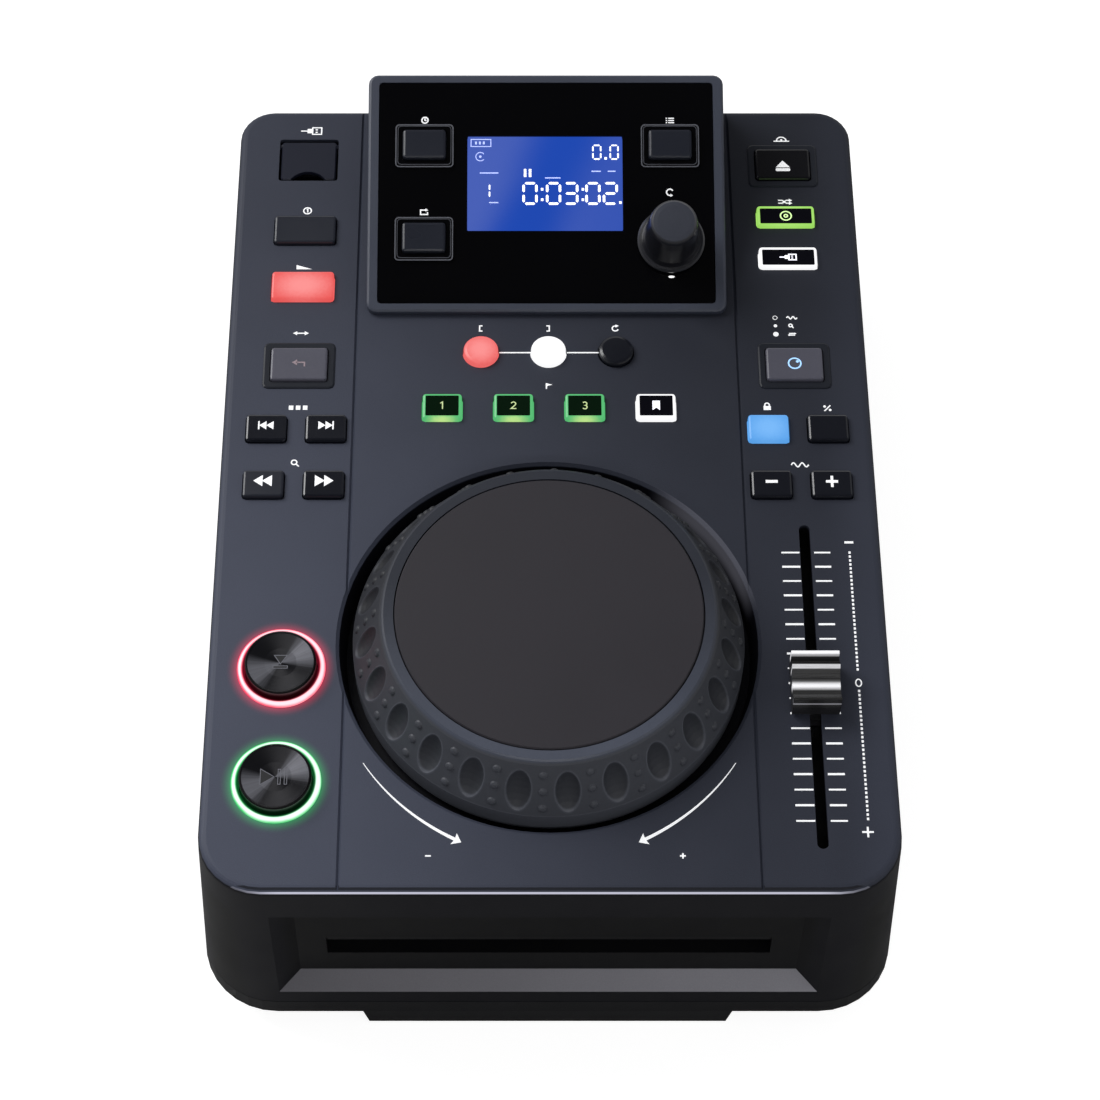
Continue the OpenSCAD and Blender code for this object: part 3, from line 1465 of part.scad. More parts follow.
top_cover();
bottom_tray();
rubber_feet();
case_screws();
display_housing();
display_panel();
lcd_module();
display_board();
control_board();
main_board();
rear_sockets();
usb_socket();
button_bezels();
cue_light_ring();
play_light_ring();
jog_wheel();
touch_disc();
jog_shaft();
jog_bearing();
pitch_fader_body();
pitch_lever();
pitch_cap();
select_shaft();
select_knob();
usb_flap();
power_switch();
drive_frame();
traverse_plate();
turntable();
disc_clamp();
loading_roller();
pickup_sled();
lead_screw();
time_key();
repeat_key();
program_key();
loop_in_key();
loop_out_key();
reloop_key();
hot_cue_1_key();
hot_cue_2_key();
hot_cue_3_key();
memo_key();
single_key();
brake_key();
reverse_key();
track_back_key();
track_forward_key();
search_back_key();
search_forward_key();
cue_key();
play_key();
eject_key();
source_disc_key();
source_usb_key();
jog_mode_key();
master_tempo_key();
pitch_range_key();
bend_minus_key();
bend_plus_key();
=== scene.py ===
"""Finishes, prints and a plain studio for a tabletop disc player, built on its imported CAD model."""
import json
import math

import bpy
from bpy.props import FloatProperty, FloatVectorProperty, IntProperty, PointerProperty
from mathutils import Matrix, Vector


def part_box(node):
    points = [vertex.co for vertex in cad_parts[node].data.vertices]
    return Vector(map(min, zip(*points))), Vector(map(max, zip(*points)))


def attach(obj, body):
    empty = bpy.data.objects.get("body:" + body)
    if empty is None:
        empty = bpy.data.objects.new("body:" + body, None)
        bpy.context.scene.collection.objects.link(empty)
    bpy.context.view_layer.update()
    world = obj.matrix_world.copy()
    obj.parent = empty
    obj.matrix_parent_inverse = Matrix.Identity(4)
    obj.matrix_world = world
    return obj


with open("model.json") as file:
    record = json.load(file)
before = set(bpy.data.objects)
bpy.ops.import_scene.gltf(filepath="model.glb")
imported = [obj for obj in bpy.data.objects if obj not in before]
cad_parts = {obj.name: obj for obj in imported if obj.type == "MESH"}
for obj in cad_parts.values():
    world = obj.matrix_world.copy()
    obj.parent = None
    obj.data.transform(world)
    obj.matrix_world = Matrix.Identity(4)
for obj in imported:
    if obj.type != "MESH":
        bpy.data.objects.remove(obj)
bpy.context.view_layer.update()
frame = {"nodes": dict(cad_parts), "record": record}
NODES = frame["nodes"]
NODE_BODY = {node: body for body, nodes in frame["record"]["behaviour"]["bodies"].items() for node in nodes}

bl_info = {
    "name": "Tabletop disc player looks",
    "version": (1, 0, 0),
    "blender": (4, 5, 0),
    "location": "3D View > Sidebar > Disc player",
    "description": "Dresses the disc player's CAD parts in moulded, lit and metal finishes and draws its prints",
    "category": "Object",
}

MM = 0.001
HOUSING = "housing"
WHITE = (1.0, 1.0, 1.0)
BLACK_PLASTIC = (0.012, 0.012, 0.014)
# The deck's print plane: X across, Y from the deck's front edge, Z up, in millimetres
DECK_DEPTH = 307.0
DECK_TOP = 95.0
# The display panel's print plane: its front edge, its rise over the deck and its tilt
POD_FRONT = 216.0
POD_LIP = 2.5
POD_TILT = 18.3
# The rear panel's outer face, and the height and places of its plated sockets
REAR_PANEL = 149.0
SOCKET_Z = 37.9
PHONO_LEFT, PHONO_RIGHT, POWER_PIN = 34.0, 50.0, -34.0
# Middle lines of the front corners' rounding, and how much the walls lean
CORNER_X = 89.0
CORNER_Y = -133.5
WALL_LEAN = 5.0 / 85.0
# The jog wheel: its dimples, how far it is turned, half of a dimple's width and height, its cone's
# top and foot radius, and the radius of the well it stands in
DIMPLES = 24
JOG_TURN = 5.4
DIMPLE_HALF = (4.1, 6.74)
CONE_TOP, CONE_FOOT = 53.6, 63.2
WELL_RADIUS = 66.9
# Shader setting of mouldings and windows that reflect little
DULL = {"Specular_IOR_Level": 0.25}


def srgb(code):
    """Linear colour of a six-digit hex code."""
    parts = [int(code[i:i + 2], 16) / 255 for i in (0, 2, 4)]
    return tuple(c / 12.92 if c <= 0.04045 else ((c + 0.055) / 1.055) ** 2.4 for c in parts)


# ------------------------------------------------------------------ settings
def colour(name, text, code):
    return FloatVectorProperty(name=name, description=text, subtype="COLOR", size=3, min=0.0, max=1.0,
                               default=srgb(code))


def length(name, text, value):
    return FloatProperty(name=name, description=text, unit="LENGTH", default=value, min=0.0)


class DiscPlayerColours(bpy.types.PropertyGroup):
    """Colours of the moulded, lit and printed surfaces."""
    deck: colour("Deck", "Moulded top cover", "3f4351")
    pod: colour("Pod frame", "Moulded frame of the display pod", "3f4452")
    tray: colour("Tray", "Powder coat of the bottom tray", "0e0e13")
    wheel: colour("Wheel", "Rubbery skirt of the jog wheel", "36383e")
    wheel_ring: colour("Wheel ring", "Satin ring round the touch disc", "383c47")
    touch: colour("Touch disc", "Fine-grained top of the jog wheel", "25222a")
    gloss: colour("Display panel", "Gloss panel round the display", "060608")
    display: colour("Display", "Lit ground of the display", "1d46ac")
    display_pale: colour("Display, pale bands", "Brighter parts of the lit ground", "475eb2")
    dark_key: colour("Dark keys", "Unlit keys", "15171f")
    red_key: colour("Red keys", "Lit red keys", "e25654")
    red_core: colour("Red keys, middle", "Brightest part of a red key", "f08a89")
    white_key: colour("White keys", "Lit white keys", "f6f6f8")
    green_key: colour("Green keys", "Lit rim of the numbered keys", "53b56f")
    green_core: colour("Green keys, front edge", "Brightest part of a numbered key", "c2e48c")
    lime_key: colour("Lime key", "Lit rim of the disc source key", "98d45e")
    lime_core: colour("Lime key, middle", "Brightest part of the disc source key", "b4e67c")
    blue_key: colour("Blue key", "Lit blue key", "579de2")
    blue_core: colour("Blue key, middle", "Brightest part of the blue key", "72b0ee")
    cue_glow: colour("Cue ring", "Rim of the lit ring round the cue key", "e6284f")
    cue_core: colour("Cue ring, middle", "Brightest part of that ring", "ffd0d8")
    play_glow: colour("Play ring", "Rim of the lit ring round the play key", "25b85c")
    play_core: colour("Play ring, middle", "Brightest part of that ring", "e2ffec")
    prints: colour("Prints", "Printed marks", "f2f3f5")


class DiscPlayerSizes(bpy.types.PropertyGroup):
    """Sizes of the prints, textures and softened edges."""
    ink: length("Ink height", "How far a print stands above its surface", 0.00005)
    stroke: length("Stroke", "Width of a drawn line", 0.00046)
    grain: length("Grain", "Size of the moulded grain", 0.00042)
    tick: length("Tick", "Width of a fader tick", 0.00072)
    softening: length("Softened edge", "Rounding of the moulded edges", 0.0004)
    ring_glow: FloatProperty(name="Ring glow", description="Strength of the lit rings", default=1.25, min=0.0)
    lamp_level: FloatProperty(name="Lamp level", description="Level of all the lamps", default=1.0, min=0.0)
    key_ticks: IntProperty(name="Fader ticks", description="Ticks on each side of the fader", default=19, min=2)


# ------------------------------------------------------------------ node tools
class Field:
    """A number, vector or colour that changes over a surface. Arithmetic on it adds nodes to its tree."""

    def __init__(self, socket):
        self.socket = socket

    @property
    def tree(self):
        return self.socket.id_data

    def __add__(self, other):
        return compute("ADD", self, other)

    def __sub__(self, other):
        return compute("SUBTRACT", self, other)

    def __rsub__(self, other):
        return compute("SUBTRACT", other, self)

    def __truediv__(self, other):
        return compute("DIVIDE", self, other)

    def __rtruediv__(self, other):
        return compute("DIVIDE", other, self)

    def __mul__(self, other):
        if is_number(self) == is_number(other):
            return compute("MULTIPLY", self, other)
        return compute("SCALE", other, self) if is_number(self) else compute("SCALE", self, other)

    def __abs__(self):
        return compute("ABSOLUTE", self)

    __radd__ = __add__
    __rmul__ = __mul__

    def under(self, limit):
        return compute("LESS_THAN", self, limit)

    def over(self, limit):
        return compute("GREATER_THAN", self, limit)

    def near(self, value, reach):
        return compute("COMPARE", self, value, reach)

    def linear(self, low, high, to_low=0.0, to_high=1.0, kind="LINEAR"):
        """Maps low..high onto to_low..to_high and holds the ends."""
        node = new_node("ShaderNodeMapRange", self)
        node.interpolation_type = kind
        limits = (("From Min", low), ("From Max", high), ("To Min", to_low), ("To Max", to_high))
        for label, value in (("Value", self), *limits):
            put(node.inputs[label], value)
        return Field(node.outputs["Result"])

    def smooth(self, low, high, to_low=0.0, to_high=1.0):
        return self.linear(low, high, to_low, to_high, "SMOOTHSTEP")

    def noise(self, scale, detail=2.0, roughness=0.5):
        node = new_node("ShaderNodeTexNoise", self)
        for label, value in (("Vector", self), ("Scale", scale), ("Detail", detail), ("Roughness", roughness)):
            put(node.inputs[label], value)
        return Field(node.outputs["Fac"])

    def split(self):
        node = new_node("ShaderNodeSeparateXYZ", self)
        put(node.inputs[0], self)
        return [Field(part) for part in node.outputs]


def is_number(value):
    return value.socket.type == "VALUE" if isinstance(value, Field) else isinstance(value, (int, float))


def new_node(kind, *values):
    """Adds a node to the tree that the values belong to."""
    return next(value.tree for value in values if isinstance(value, Field)).nodes.new(kind)


def put(target, value):
    """Links a field to an input, or sets the input's own value."""
    if isinstance(value, Field):
        value.tree.links.new(value.socket, target)
    elif hasattr(target.default_value, "__len__") and len(target.default_value) == 4 and len(value) == 3:
        target.default_value = (*value, 1.0)
    else:
        target.default_value = value


def compute(operation, *values, clamp=False):
    """A maths node for numbers, or a vector maths node where a value is a vector or a colour."""
    numbers = all(is_number(value) for value in values)
    node = new_node("ShaderNodeMath" if numbers else "ShaderNodeVectorMath", *values)
    node.operation = operation
    if clamp:
        node.use_clamp = True
    sockets = (node.inputs[0], node.inputs["Scale"]) if operation == "SCALE" else node.inputs
    for socket, value in zip(sockets, values):
        put(socket, value)
    return Field(node.outputs["Value" if numbers or operation in ("LENGTH", "DOT_PRODUCT") else "Vector"])


def mix(factor, low, high, kind="RGBA"):
    node = new_node("ShaderNodeMix", factor, low, high)
    node.data_type = kind
    node.clamp_factor = True
    for label, value in (("Factor", factor), ("A", low), ("B", high)):
        put(node.inputs[label], value)
    return Field(node.outputs["Result"])


def join(x, y, z):
    node = new_node("ShaderNodeCombineXYZ", x, y, z)
    for socket, value in zip(node.inputs, (x, y, z)):
        put(socket, value)
    return Field(node.outputs[0])


def place(tree):
    """Object coordinates: metres in the part's own frame."""
    return Field(tree.nodes.new("ShaderNodeTexCoord").outputs["Object"])


def from_axis(where, centre):
    """Offsets from an upright axis, and the distance to it."""
    x, y, _ = (where - centre).split()
    return x, y, compute("LENGTH", join(x, y, 0.0))


def under_deck(depth):
    """Height of a level that many millimetres under the deck."""
    return (DECK_TOP - depth) * MM


# ------------------------------------------------------------------ shared shader groups
GROUPS = {}


def socket_name(label):
    return label.capitalize().replace("_", " ")


def shader_group(*outputs, **inputs):
    """Lists a builder of a shared group: it takes the place and the inputs, and returns the outputs."""
    def keep(build):
        GROUPS[build.__name__] = (build, outputs, inputs)
        return build
    return keep


def make_group(name):
    build, outputs, inputs = GROUPS[name]
    tree = bpy.data.node_groups.new(name, "ShaderNodeTree")
    for label, default in inputs.items():
        kind = "Float" if isinstance(default, float) else "Vector" if isinstance(default, Vector) else "Color"
        socket = tree.interface.new_socket(socket_name(label), in_out="INPUT", socket_type="NodeSocket" + kind)
        socket.default_value = (*default, 1.0) if kind == "Color" else default
    for label in outputs:
        kind = {"colour": "Color", "normal": "Vector"}.get(label, "Float")
        tree.interface.new_socket(socket_name(label), in_out="OUTPUT", socket_type="NodeSocket" + kind)
    given = tree.nodes.new("NodeGroupInput").outputs
    results = build(place(tree), **{label: Field(given[socket_name(label)]) for label in inputs})
    out = tree.nodes.new("NodeGroupOutput").inputs
    for label, value in zip(outputs, results):
        put(out[socket_name(label)], value)


def add_group(tree, name, **values):
    """Places a shared group in a material and returns its outputs by name."""
    node = tree.nodes.new("ShaderNodeGroup")
    node.node_tree = bpy.data.node_groups[name]
    for label, value in values.items():
        put(node.inputs[socket_name(label)], value)
    return {label: Field(node.outputs[socket_name(label)]) for label in GROUPS[name][1]}


@shader_group("colour", "roughness", "height",
              colour=(0.05, 0.05, 0.05), roughness=0.5, grain=0.0004, clouding=0.1)
def moulded_skin(where, colour, roughness, grain, clouding):
    """Fine grain, slight clouding of the colour and uneven gloss of a moulded or coated surface."""
    fine = where.noise(1.0 / grain, 2.0, 0.55)
    coarse = where.noise(38.0, 3.0) - 0.5
    shade = coarse * clouding + (fine - 0.5) * (clouding * 1.6) + 1.0
    return colour * shade, compute("ADD", roughness, coarse * 0.16, clamp=True), fine


@shader_group("colour", "roughness", "height",
              colour=(0.5, 0.5, 0.5), roughness=0.35, stretch=Vector((1.0, 40.0, 40.0)))
def brushed_skin(where, colour, roughness, stretch):
    """Fine scratches drawn along one direction, with a little staining."""
    scratch = (where * stretch).noise(90.0, 4.0, 0.65)
    stain = where.noise(30.0, 3.0)
    shade = (scratch * 0.6 + stain * 0.4).linear(0.25, 0.75, 0.82, 1.12)
    worn = scratch.linear(0.3, 0.7, -0.08, 0.1)
    return colour * shade, compute("ADD", roughness, worn, clamp=True), scratch


@shader_group("height", "roughness", "face", "sectors",
              centre=Vector(), pitch=0.00035, face_radius=0.0106)
def turned_skin(where, centre, pitch, face_radius):
    """Concentric tool marks round a vertical axis, and masks of the turned face and of its two fans where a
    highlight is painted.
    """
    x, y, radius = from_axis(where, centre)
    marks = join(radius, 0.0, 0.0).noise(1.0 / pitch, 3.0, 0.7)
    angle = compute("ARCTAN2", y, x)
    # Two opposite fans where a highlight is painted, broken up by fine radial chatter
    fan = compute("COSINE", (angle - 0.42) * 2.0)
    chatter = join(angle, 0.0, 0.0).noise(7.0, 4.0, 0.7)
    sectors = (fan + chatter * 1.1).smooth(0.6, 1.75)
    return marks, marks.linear(0.3, 0.7, 0.26, 0.4), radius.under(face_radius), sectors


@shader_group("colour", core=WHITE, rim=(0.5, 0.5, 0.5), centre=Vector(), half_size=Vector((0.01, 0.01, 1.0)))
def lit_skin(where, core, rim, centre, half_size):
    """A lit translucent surface that is brightest at its middle."""
    spread = compute("LENGTH", (where - centre) / half_size)
    mottle = (where.noise(900.0) - 0.5) * 0.25
    return (mix((spread + mottle).smooth(0.15, 1.15, 1.0, 0.0), rim, core),)


@shader_group("colour", core=WHITE, rim=(0.5, 0.5, 0.5), centre=Vector(),
              crown_radius=0.01325, width=0.00095, bore=0.0121)
def ring_skin(where, core, rim, centre, crown_radius, width, bore):
    """A lit ring round a vertical axis: a thin bright crown between deep rims, dark towards its bore."""
    x, y, radius = from_axis(where, centre)
    off = abs(radius - crown_radius) / width
    # The lamps under the ring leave it paler at its front and right
    paler = (compute("COSINE", compute("ARCTAN2", y, x) + 0.9) + 1.0) * 0.22
    crown = (off + where.noise(130.0) * 0.55 - paler).smooth(0.15, 1.15, 1.0, 0.0)
    return (mix(crown, rim, core) * radius.smooth(bore, bore + 0.0007, 0.12, 1.0),)


@shader_group("mask", centre=Vector(), edge=0.0138, reach=0.0042)
def painted_halo_skin(where, centre, edge, reach):
    """A soft glow painted on a level surface round a lit ring."""
    _, _, radius = from_axis(where, centre)
    fall = radius.linear(edge, edge + reach, 1.0, 0.0)
    return (compute("POWER", compute("MAXIMUM", fall, 0.0), 2.2),)


@shader_group("deck", "wall", "ledge", "recess", "edge", "well", "normal")
def cover_zones(where):
    """Zones of the top cover where light and shade are painted: the deck's fall of light, the shaded walls with
    their seam, the lit ledge, the shaded recess, the highlights on the front edge and the well, and the normals
    of its round corners.
    """
    x, y, z = where.split()
    wide = abs(x)
    # Painted light and shade: the deck is painted palest at its front left and darker towards its right and
    # rear, with a narrow painted highlight along its right rim
    across = x.smooth(-0.1, 0.07, 1.22, 0.56) + x.smooth(0.088, 0.1075, 0.0, 0.2)
    deck = across * y.smooth(-0.12, 0.14, 1.12, 0.64)
    front = y.under((2.5 - DECK_DEPTH / 2) * MM)
    # Painted shade: the walls below the deck's rounding are painted near black, and a thin dark seam runs along
    # the front just under the top
    seam = z.near(under_deck(0.3), 0.00018) * front
    wall = compute("MAXIMUM", z.smooth(under_deck(1.6), under_deck(0.9), 1.0, 0.0), seam * 0.8)
    # How far a point lies behind the leaning front wall
    behind = y + DECK_DEPTH / 2 * MM + (DECK_TOP * MM - z) * WALL_LEAN
    # Painted shade: the inside of the recess behind the front wall is masked to be painted near black
    recess = behind.smooth(0.0012, 0.004) * behind.under(0.012) * z.under(under_deck(16.0))
    # The ledge, painted paler as if lit from above, narrows towards the back of its recess
    low, high = under_deck(69.0), under_deck(62.6)
    ledge = z.over(low) * z.under(high) * wide.under(z.linear(low, high, 0.0875, 0.0803)) * front
    # A painted highlight along the rounding of the front edge, fading towards its corners; the same band is also
    # made smoother
    line = z.smooth(under_deck(1.6), under_deck(1.4)) * z.smooth(under_deck(0.95), under_deck(0.8), 1.0, 0.0)
    edge = line * wide.smooth(0.082, 0.097, 1.0, 0.15) * front
    # The jog well's wall catches light at its far right
    centre, _ = centre_of("jog_wheel")
    beside, beyond, radius = from_axis(where, centre)
    aim = compute("COSINE", compute("ARCTAN2", beyond, beside) - 0.6)
    well = aim.smooth(0.9, 0.99) * radius.near(WELL_RADIUS * MM, 0.0018)
    well = well * z.smooth(under_deck(10.0), under_deck(3.0))
    # The front corners are rounded about two upright lines
    away = join(wide - CORNER_X * MM, y - CORNER_Y * MM, 0.0)
    outward, forward, _ = compute("NORMALIZE", away).split()
    flat = Field(new_node("ShaderNodeNewGeometry", where).outputs["Normal"])
    _, _, up = flat.split()
    level = compute("SQRT", compute("MAXIMUM", 1.0 - up * up, 0.0))
    rounded = join(outward * level * compute("SIGN", x), forward * level, up)
    corner = wide.over(CORNER_X * MM) * y.under(CORNER_Y * MM)
    facing = compute("DOT_PRODUCT", flat, rounded).over(0.7)
    return deck, wall, ledge, recess, edge, well, mix(corner * facing, flat, rounded, "VECTOR")


@shader_group("dimple", "rim", "front", middle=Vector(), turn=0.0)
def wheel_zones(where, middle, turn):
    """Zones of the jog wheel's cone where light and shade are painted: its dimples, their raised rims, and the
    side that faces the front.
    """
    x, y, z = (where - middle).split()
    radius = compute("LENGTH", join(x, y, 0.0))
    angle = compute("ARCTAN2", y, x) * math.degrees(1.0)
    # Angle from the nearest dimple's middle, kept positive by two whole turns
    part = compute("PINGPONG", angle - turn + 720.0, 180.0 / DIMPLES) * math.radians(1.0)
    half_wide, half_high = DIMPLE_HALF
    off = compute("LENGTH", join(part * radius / (half_wide * MM), z / (half_high * MM), 0.0))
    cone = radius.under(CONE_FOOT * MM) * radius.over(CONE_TOP * MM)
    dimple = off.smooth(0.86, 0.97, 1.0, 0.0) * cone
    rim = off.smooth(0.9, 0.98) * off.smooth(1.02, 1.12, 1.0, 0.0) * cone
    return dimple, rim, y.smooth(0.02, -0.055)


@shader_group("colour", "roughness", "height", mask=(0.01, 0.09, 0.03), track=(0.02, 0.17, 0.06))
def board_skin(where, mask, track):
    """Solder mask over copper tracks."""
    brick = new_node("ShaderNodeTexBrick", where)
    for label, value in (("Vector", where), ("Scale", 150.0), ("Mortar Size", 0.045), ("Mortar Smooth", 0.3)):
        put(brick.inputs[label], value)
    patch = where.noise(55.0, 3.0)
    copper = Field(brick.outputs["Fac"]) * patch.smooth(0.42, 0.5)
    return mix(copper, mask, track), patch.linear(0.3, 0.7, 0.3, 0.48), copper


# ------------------------------------------------------------------ finishes
class Finish:
    """A material with one Principled BSDF, whose constant sockets take the given values."""

    def __init__(self, name, **shader):
        self.material = bpy.data.materials.new(name)
        self.material.use_nodes = True
        self.tree = self.material.node_tree
        self.tree.nodes.clear()
        out = self.tree.nodes.new("ShaderNodeOutputMaterial")
        bsdf = self.tree.nodes.new("ShaderNodeBsdfPrincipled")
        self.tree.links.new(bsdf.outputs[0], out.inputs[0])
        self.sockets = bsdf.inputs
        self.set(**shader)

    @property
    def where(self):
        return place(self.tree)

    def set(self, **values):
        for label, value in values.items():
            put(self.sockets[label.replace("_", " ")], value)

    def group(self, name, **values):
        return add_group(self.tree, name, **values)

    def bump(self, height, distance, normal=None):
        node = self.tree.nodes.new("ShaderNodeBump")
        put(node.inputs["Distance"], distance)
        put(node.inputs["Height"], height)
        if normal is not None:
            put(node.inputs["Normal"], normal)
        self.set(Normal=Field(node.outputs[0]))

    def skin(self, name, depth, **values):
        """Takes colour, roughness and bump from a shared group."""
        skin = self.group(name, **values)
        self.set(Base_Color=skin["colour"], Roughness=skin["roughness"])
        self.bump(skin["height"], depth)
        return skin


def moulded(name, tone, roughness, grain=0.00042, clouding=0.1, depth=3e-5, **shader):
    finish = Finish(name, **shader)
    finish.skin("moulded_skin", depth, colour=tuple(tone), roughness=roughness, grain=grain, clouding=clouding)
    return finish.material


def brushed(name, tone, roughness, stretch):
    finish = Finish(name, Metallic=1.0)
    finish.skin("brushed_skin", 1e-5, colour=tone, roughness=roughness, stretch=stretch)
    return finish.material


def lit(name, core, rim, centre, half):
    """A lit key: its glow falls off from the middle."""
    finish = Finish(name, Roughness=0.35, Emission_Strength=1.0)
    glow = finish.group("lit_skin", core=tuple(core), rim=tuple(rim), centre=centre, half_size=half)["colour"]
    finish.set(Emission_Color=glow, Base_Color=glow * 0.15)
    return finish.material


def ink(name, tone, glow=0.0):
    """Printing ink with slight unevenness."""
    finish = Finish(name, Emission_Strength=glow)
    skin = finish.skin("moulded_skin", 4e-6, colour=tuple(tone), roughness=0.55, grain=0.0002, clouding=0.08)
    finish.set(Emission_Color=skin["colour"])
    return finish.material


def dress(material, *names):
    """Gives CAD nodes a material."""
    for name in names:
        mesh = NODES[name].data
        mesh.materials.clear()
        mesh.materials.append(material)


def soften(width, *names):
    """Joins the split corners of CAD nodes and rounds their edges a little."""
    for name in names:
        node = NODES[name]
        weld = node.modifiers.new("Join corners", "WELD")
        weld.merge_threshold = 1e-6
        bevel = node.modifiers.new("Soft edges", "BEVEL")
        bevel.width = width
        bevel.segments = 2
        bevel.limit_method = "ANGLE"
        bevel.angle_limit = math.radians(35.0)
        bevel.harden_normals = True


def centre_of(name):
    """Middle and half size of a CAD node's box."""
    low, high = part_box(name)
    return (low + high) / 2, (high - low) / 2


# ------------------------------------------------------------------ flat shapes
DECK = Matrix.Translation((0.0, -DECK_DEPTH / 2 * MM, DECK_TOP * MM)) @ Matrix.Scale(MM, 4)
POD = (Matrix.Translation((0.0, (POD_FRONT - DECK_DEPTH / 2) * MM, (DECK_TOP + POD_LIP) * MM))
       @ Matrix.Rotation(math.radians(POD_TILT), 4, "X") @ Matrix.Scale(MM, 4))
# The rear panel's plane, seen from behind: X to the left of the player, Y up, Z to the rear
REAR = (Matrix(((-1, 0, 0, 0), (0, 0, 1, REAR_PANEL * MM), (0, 1, 0, SOCKET_Z * MM), (0, 0, 0, 1)))
        @ Matrix.Scale(MM, 4))
# A drawn line's corner reaches out to no more than its half width over this share
MITRE = 0.4


def on_circle(degrees, radius, x=0.0, y=0.0, high=None):
    """A point on a circle, or on an oval of another height."""
    angle = math.radians(degrees)
    return x + radius * math.cos(angle), y + (high or radius) * math.sin(angle)


def ring_points(radius, count, x=0.0, y=0.0, start=0.0, sweep=360.0, high=None):
    """Points round a circle or an oval; a part of a turn has one point more than it has steps."""
    steps = count if sweep >= 360.0 else count + 1
    return [on_circle(start + sweep * i / count, radius, x, y, high) for i in range(steps)]


def box_points(x0, x1, y0, y1):
    return [(x0, y0), (x1, y0), (x1, y1), (x0, y1)]


def round_box(wide, deep, radius, steps=4, x=0.0, y=0.0):
    out = []
    for turn, (across, along) in enumerate(((1, 1), (-1, 1), (-1, -1), (1, -1))):
        corner = x + across * (wide / 2 - radius), y + along * (deep / 2 - radius)
        out += ring_points(radius, steps, *corner, 90.0 * turn, 90.0)
    return out


def shift(points, x, y, scale=1.0):
    return [(x + px * scale, y + py * scale) for px, py in points]


class Plates:
    """Collects flat closed shapes in one mesh: filled outlines and drawn lines."""

    def __init__(self, plane, low, high):
        self.plane, self.low, self.high = plane, low, high
        self.points, self.faces = [], []

    def _loop(self, outline, z):
        first = len(self.points)
        self.points += [self.plane @ Vector((x, y, z)) for x, y in outline]
        return list(range(first, first + len(outline)))

    def fill(self, outline):
        area = sum(a[0] * b[1] - b[0] * a[1] for a, b in zip(outline, outline[1:] + outline[:1]))
        if area < 0:
            outline = outline[::-1]
        low, high = self._loop(outline, self.low), self._loop(outline, self.high)
        n = len(outline)
        self.faces += [low[::-1], high]
        self.faces += [[low[i], low[(i + 1) % n], high[(i + 1) % n], high[i]] for i in range(n)]

    def line(self, points, width, closed=False):
        """A line of one width, or of a width at each point, with mitred corners."""
        n = len(points)
        widths = width if isinstance(width, list) else [width] * n
        left, right = [], []
        for i, (x, y) in enumerate(points):
            before = points[i - 1] if i or closed else points[i]
            after = points[(i + 1) % n] if i < n - 1 or closed else points[i]
            d0, d1 = Vector((x - before[0], y - before[1])), Vector((after[0] - x, after[1] - y))
            d0, d1 = (d0 if d0.length else d1).normalized(), (d1 if d1.length else d0).normalized()
            along = (d0 + d1).normalized() if (d0 + d1).length > 1e-6 else d1
            reach = widths[i] / 2 / max(along.dot(d1), MITRE)
            left.append((x - along.y * reach, y + along.x * reach))
            right.append((x + along.y * reach, y - along.x * reach))
        sides = (left, self.low), (right, self.low), (right, self.high), (left, self.high)
        rings = [self._loop(side, z) for side, z in sides]
        for i in range(n if closed else n - 1):
            k = (i + 1) % n
            self.faces += [[a[i], a[k], b[k], b[i]] for a, b in zip(rings, rings[1:] + rings[:1])]
        if not closed:
            self.faces += [[ring[0] for ring in rings], [ring[-1] for ring in rings[::-1]]]

    def draw(self, name, x, y, stroke, scale=1.0):
        """Adds one mark about a point."""
        for kind, points in MARKS[name]:
            if kind == "fill":
                self.fill(shift(points, x, y, scale))
            else:
                self.line(shift(points, x, y, scale), stroke, kind == "loop")

    def make(self, name, material, body):
        mesh = bpy.data.meshes.new(name)
        mesh.from_pydata([tuple(p) for p in self.points], [], self.faces)
        mesh.validate()
        mesh.materials.append(material)
        piece = bpy.data.objects.new(name, mesh)
        bpy.context.scene.collection.objects.link(piece)
        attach(piece, body)


# ------------------------------------------------------------------ marks
ARROW = [(-0.9, 1.3), (1.3, 0.0), (-0.9, -1.3)]


def fill(*points):
    return "fill", list(points)


def path(*points):
    return "path", list(points)


def loop(*points):
    return "loop", list(points)


def bar(x0, x1, y0, y1):
    return fill(*box_points(x0, x1, y0, y1))


def dot(*ring):
    return fill(*ring_points(*ring))


def circle(*ring):
    return loop(*ring_points(*ring))


def arc(*ring):
    return path(*ring_points(*ring))


def arrow(x, y, scale, side=1):
    return fill(*((side * px, py) for px, py in shift(ARROW, x, y, scale)))


def cross(reach, half):
    return [bar(-reach, reach, -half, half), bar(-half, half, -reach, reach)]


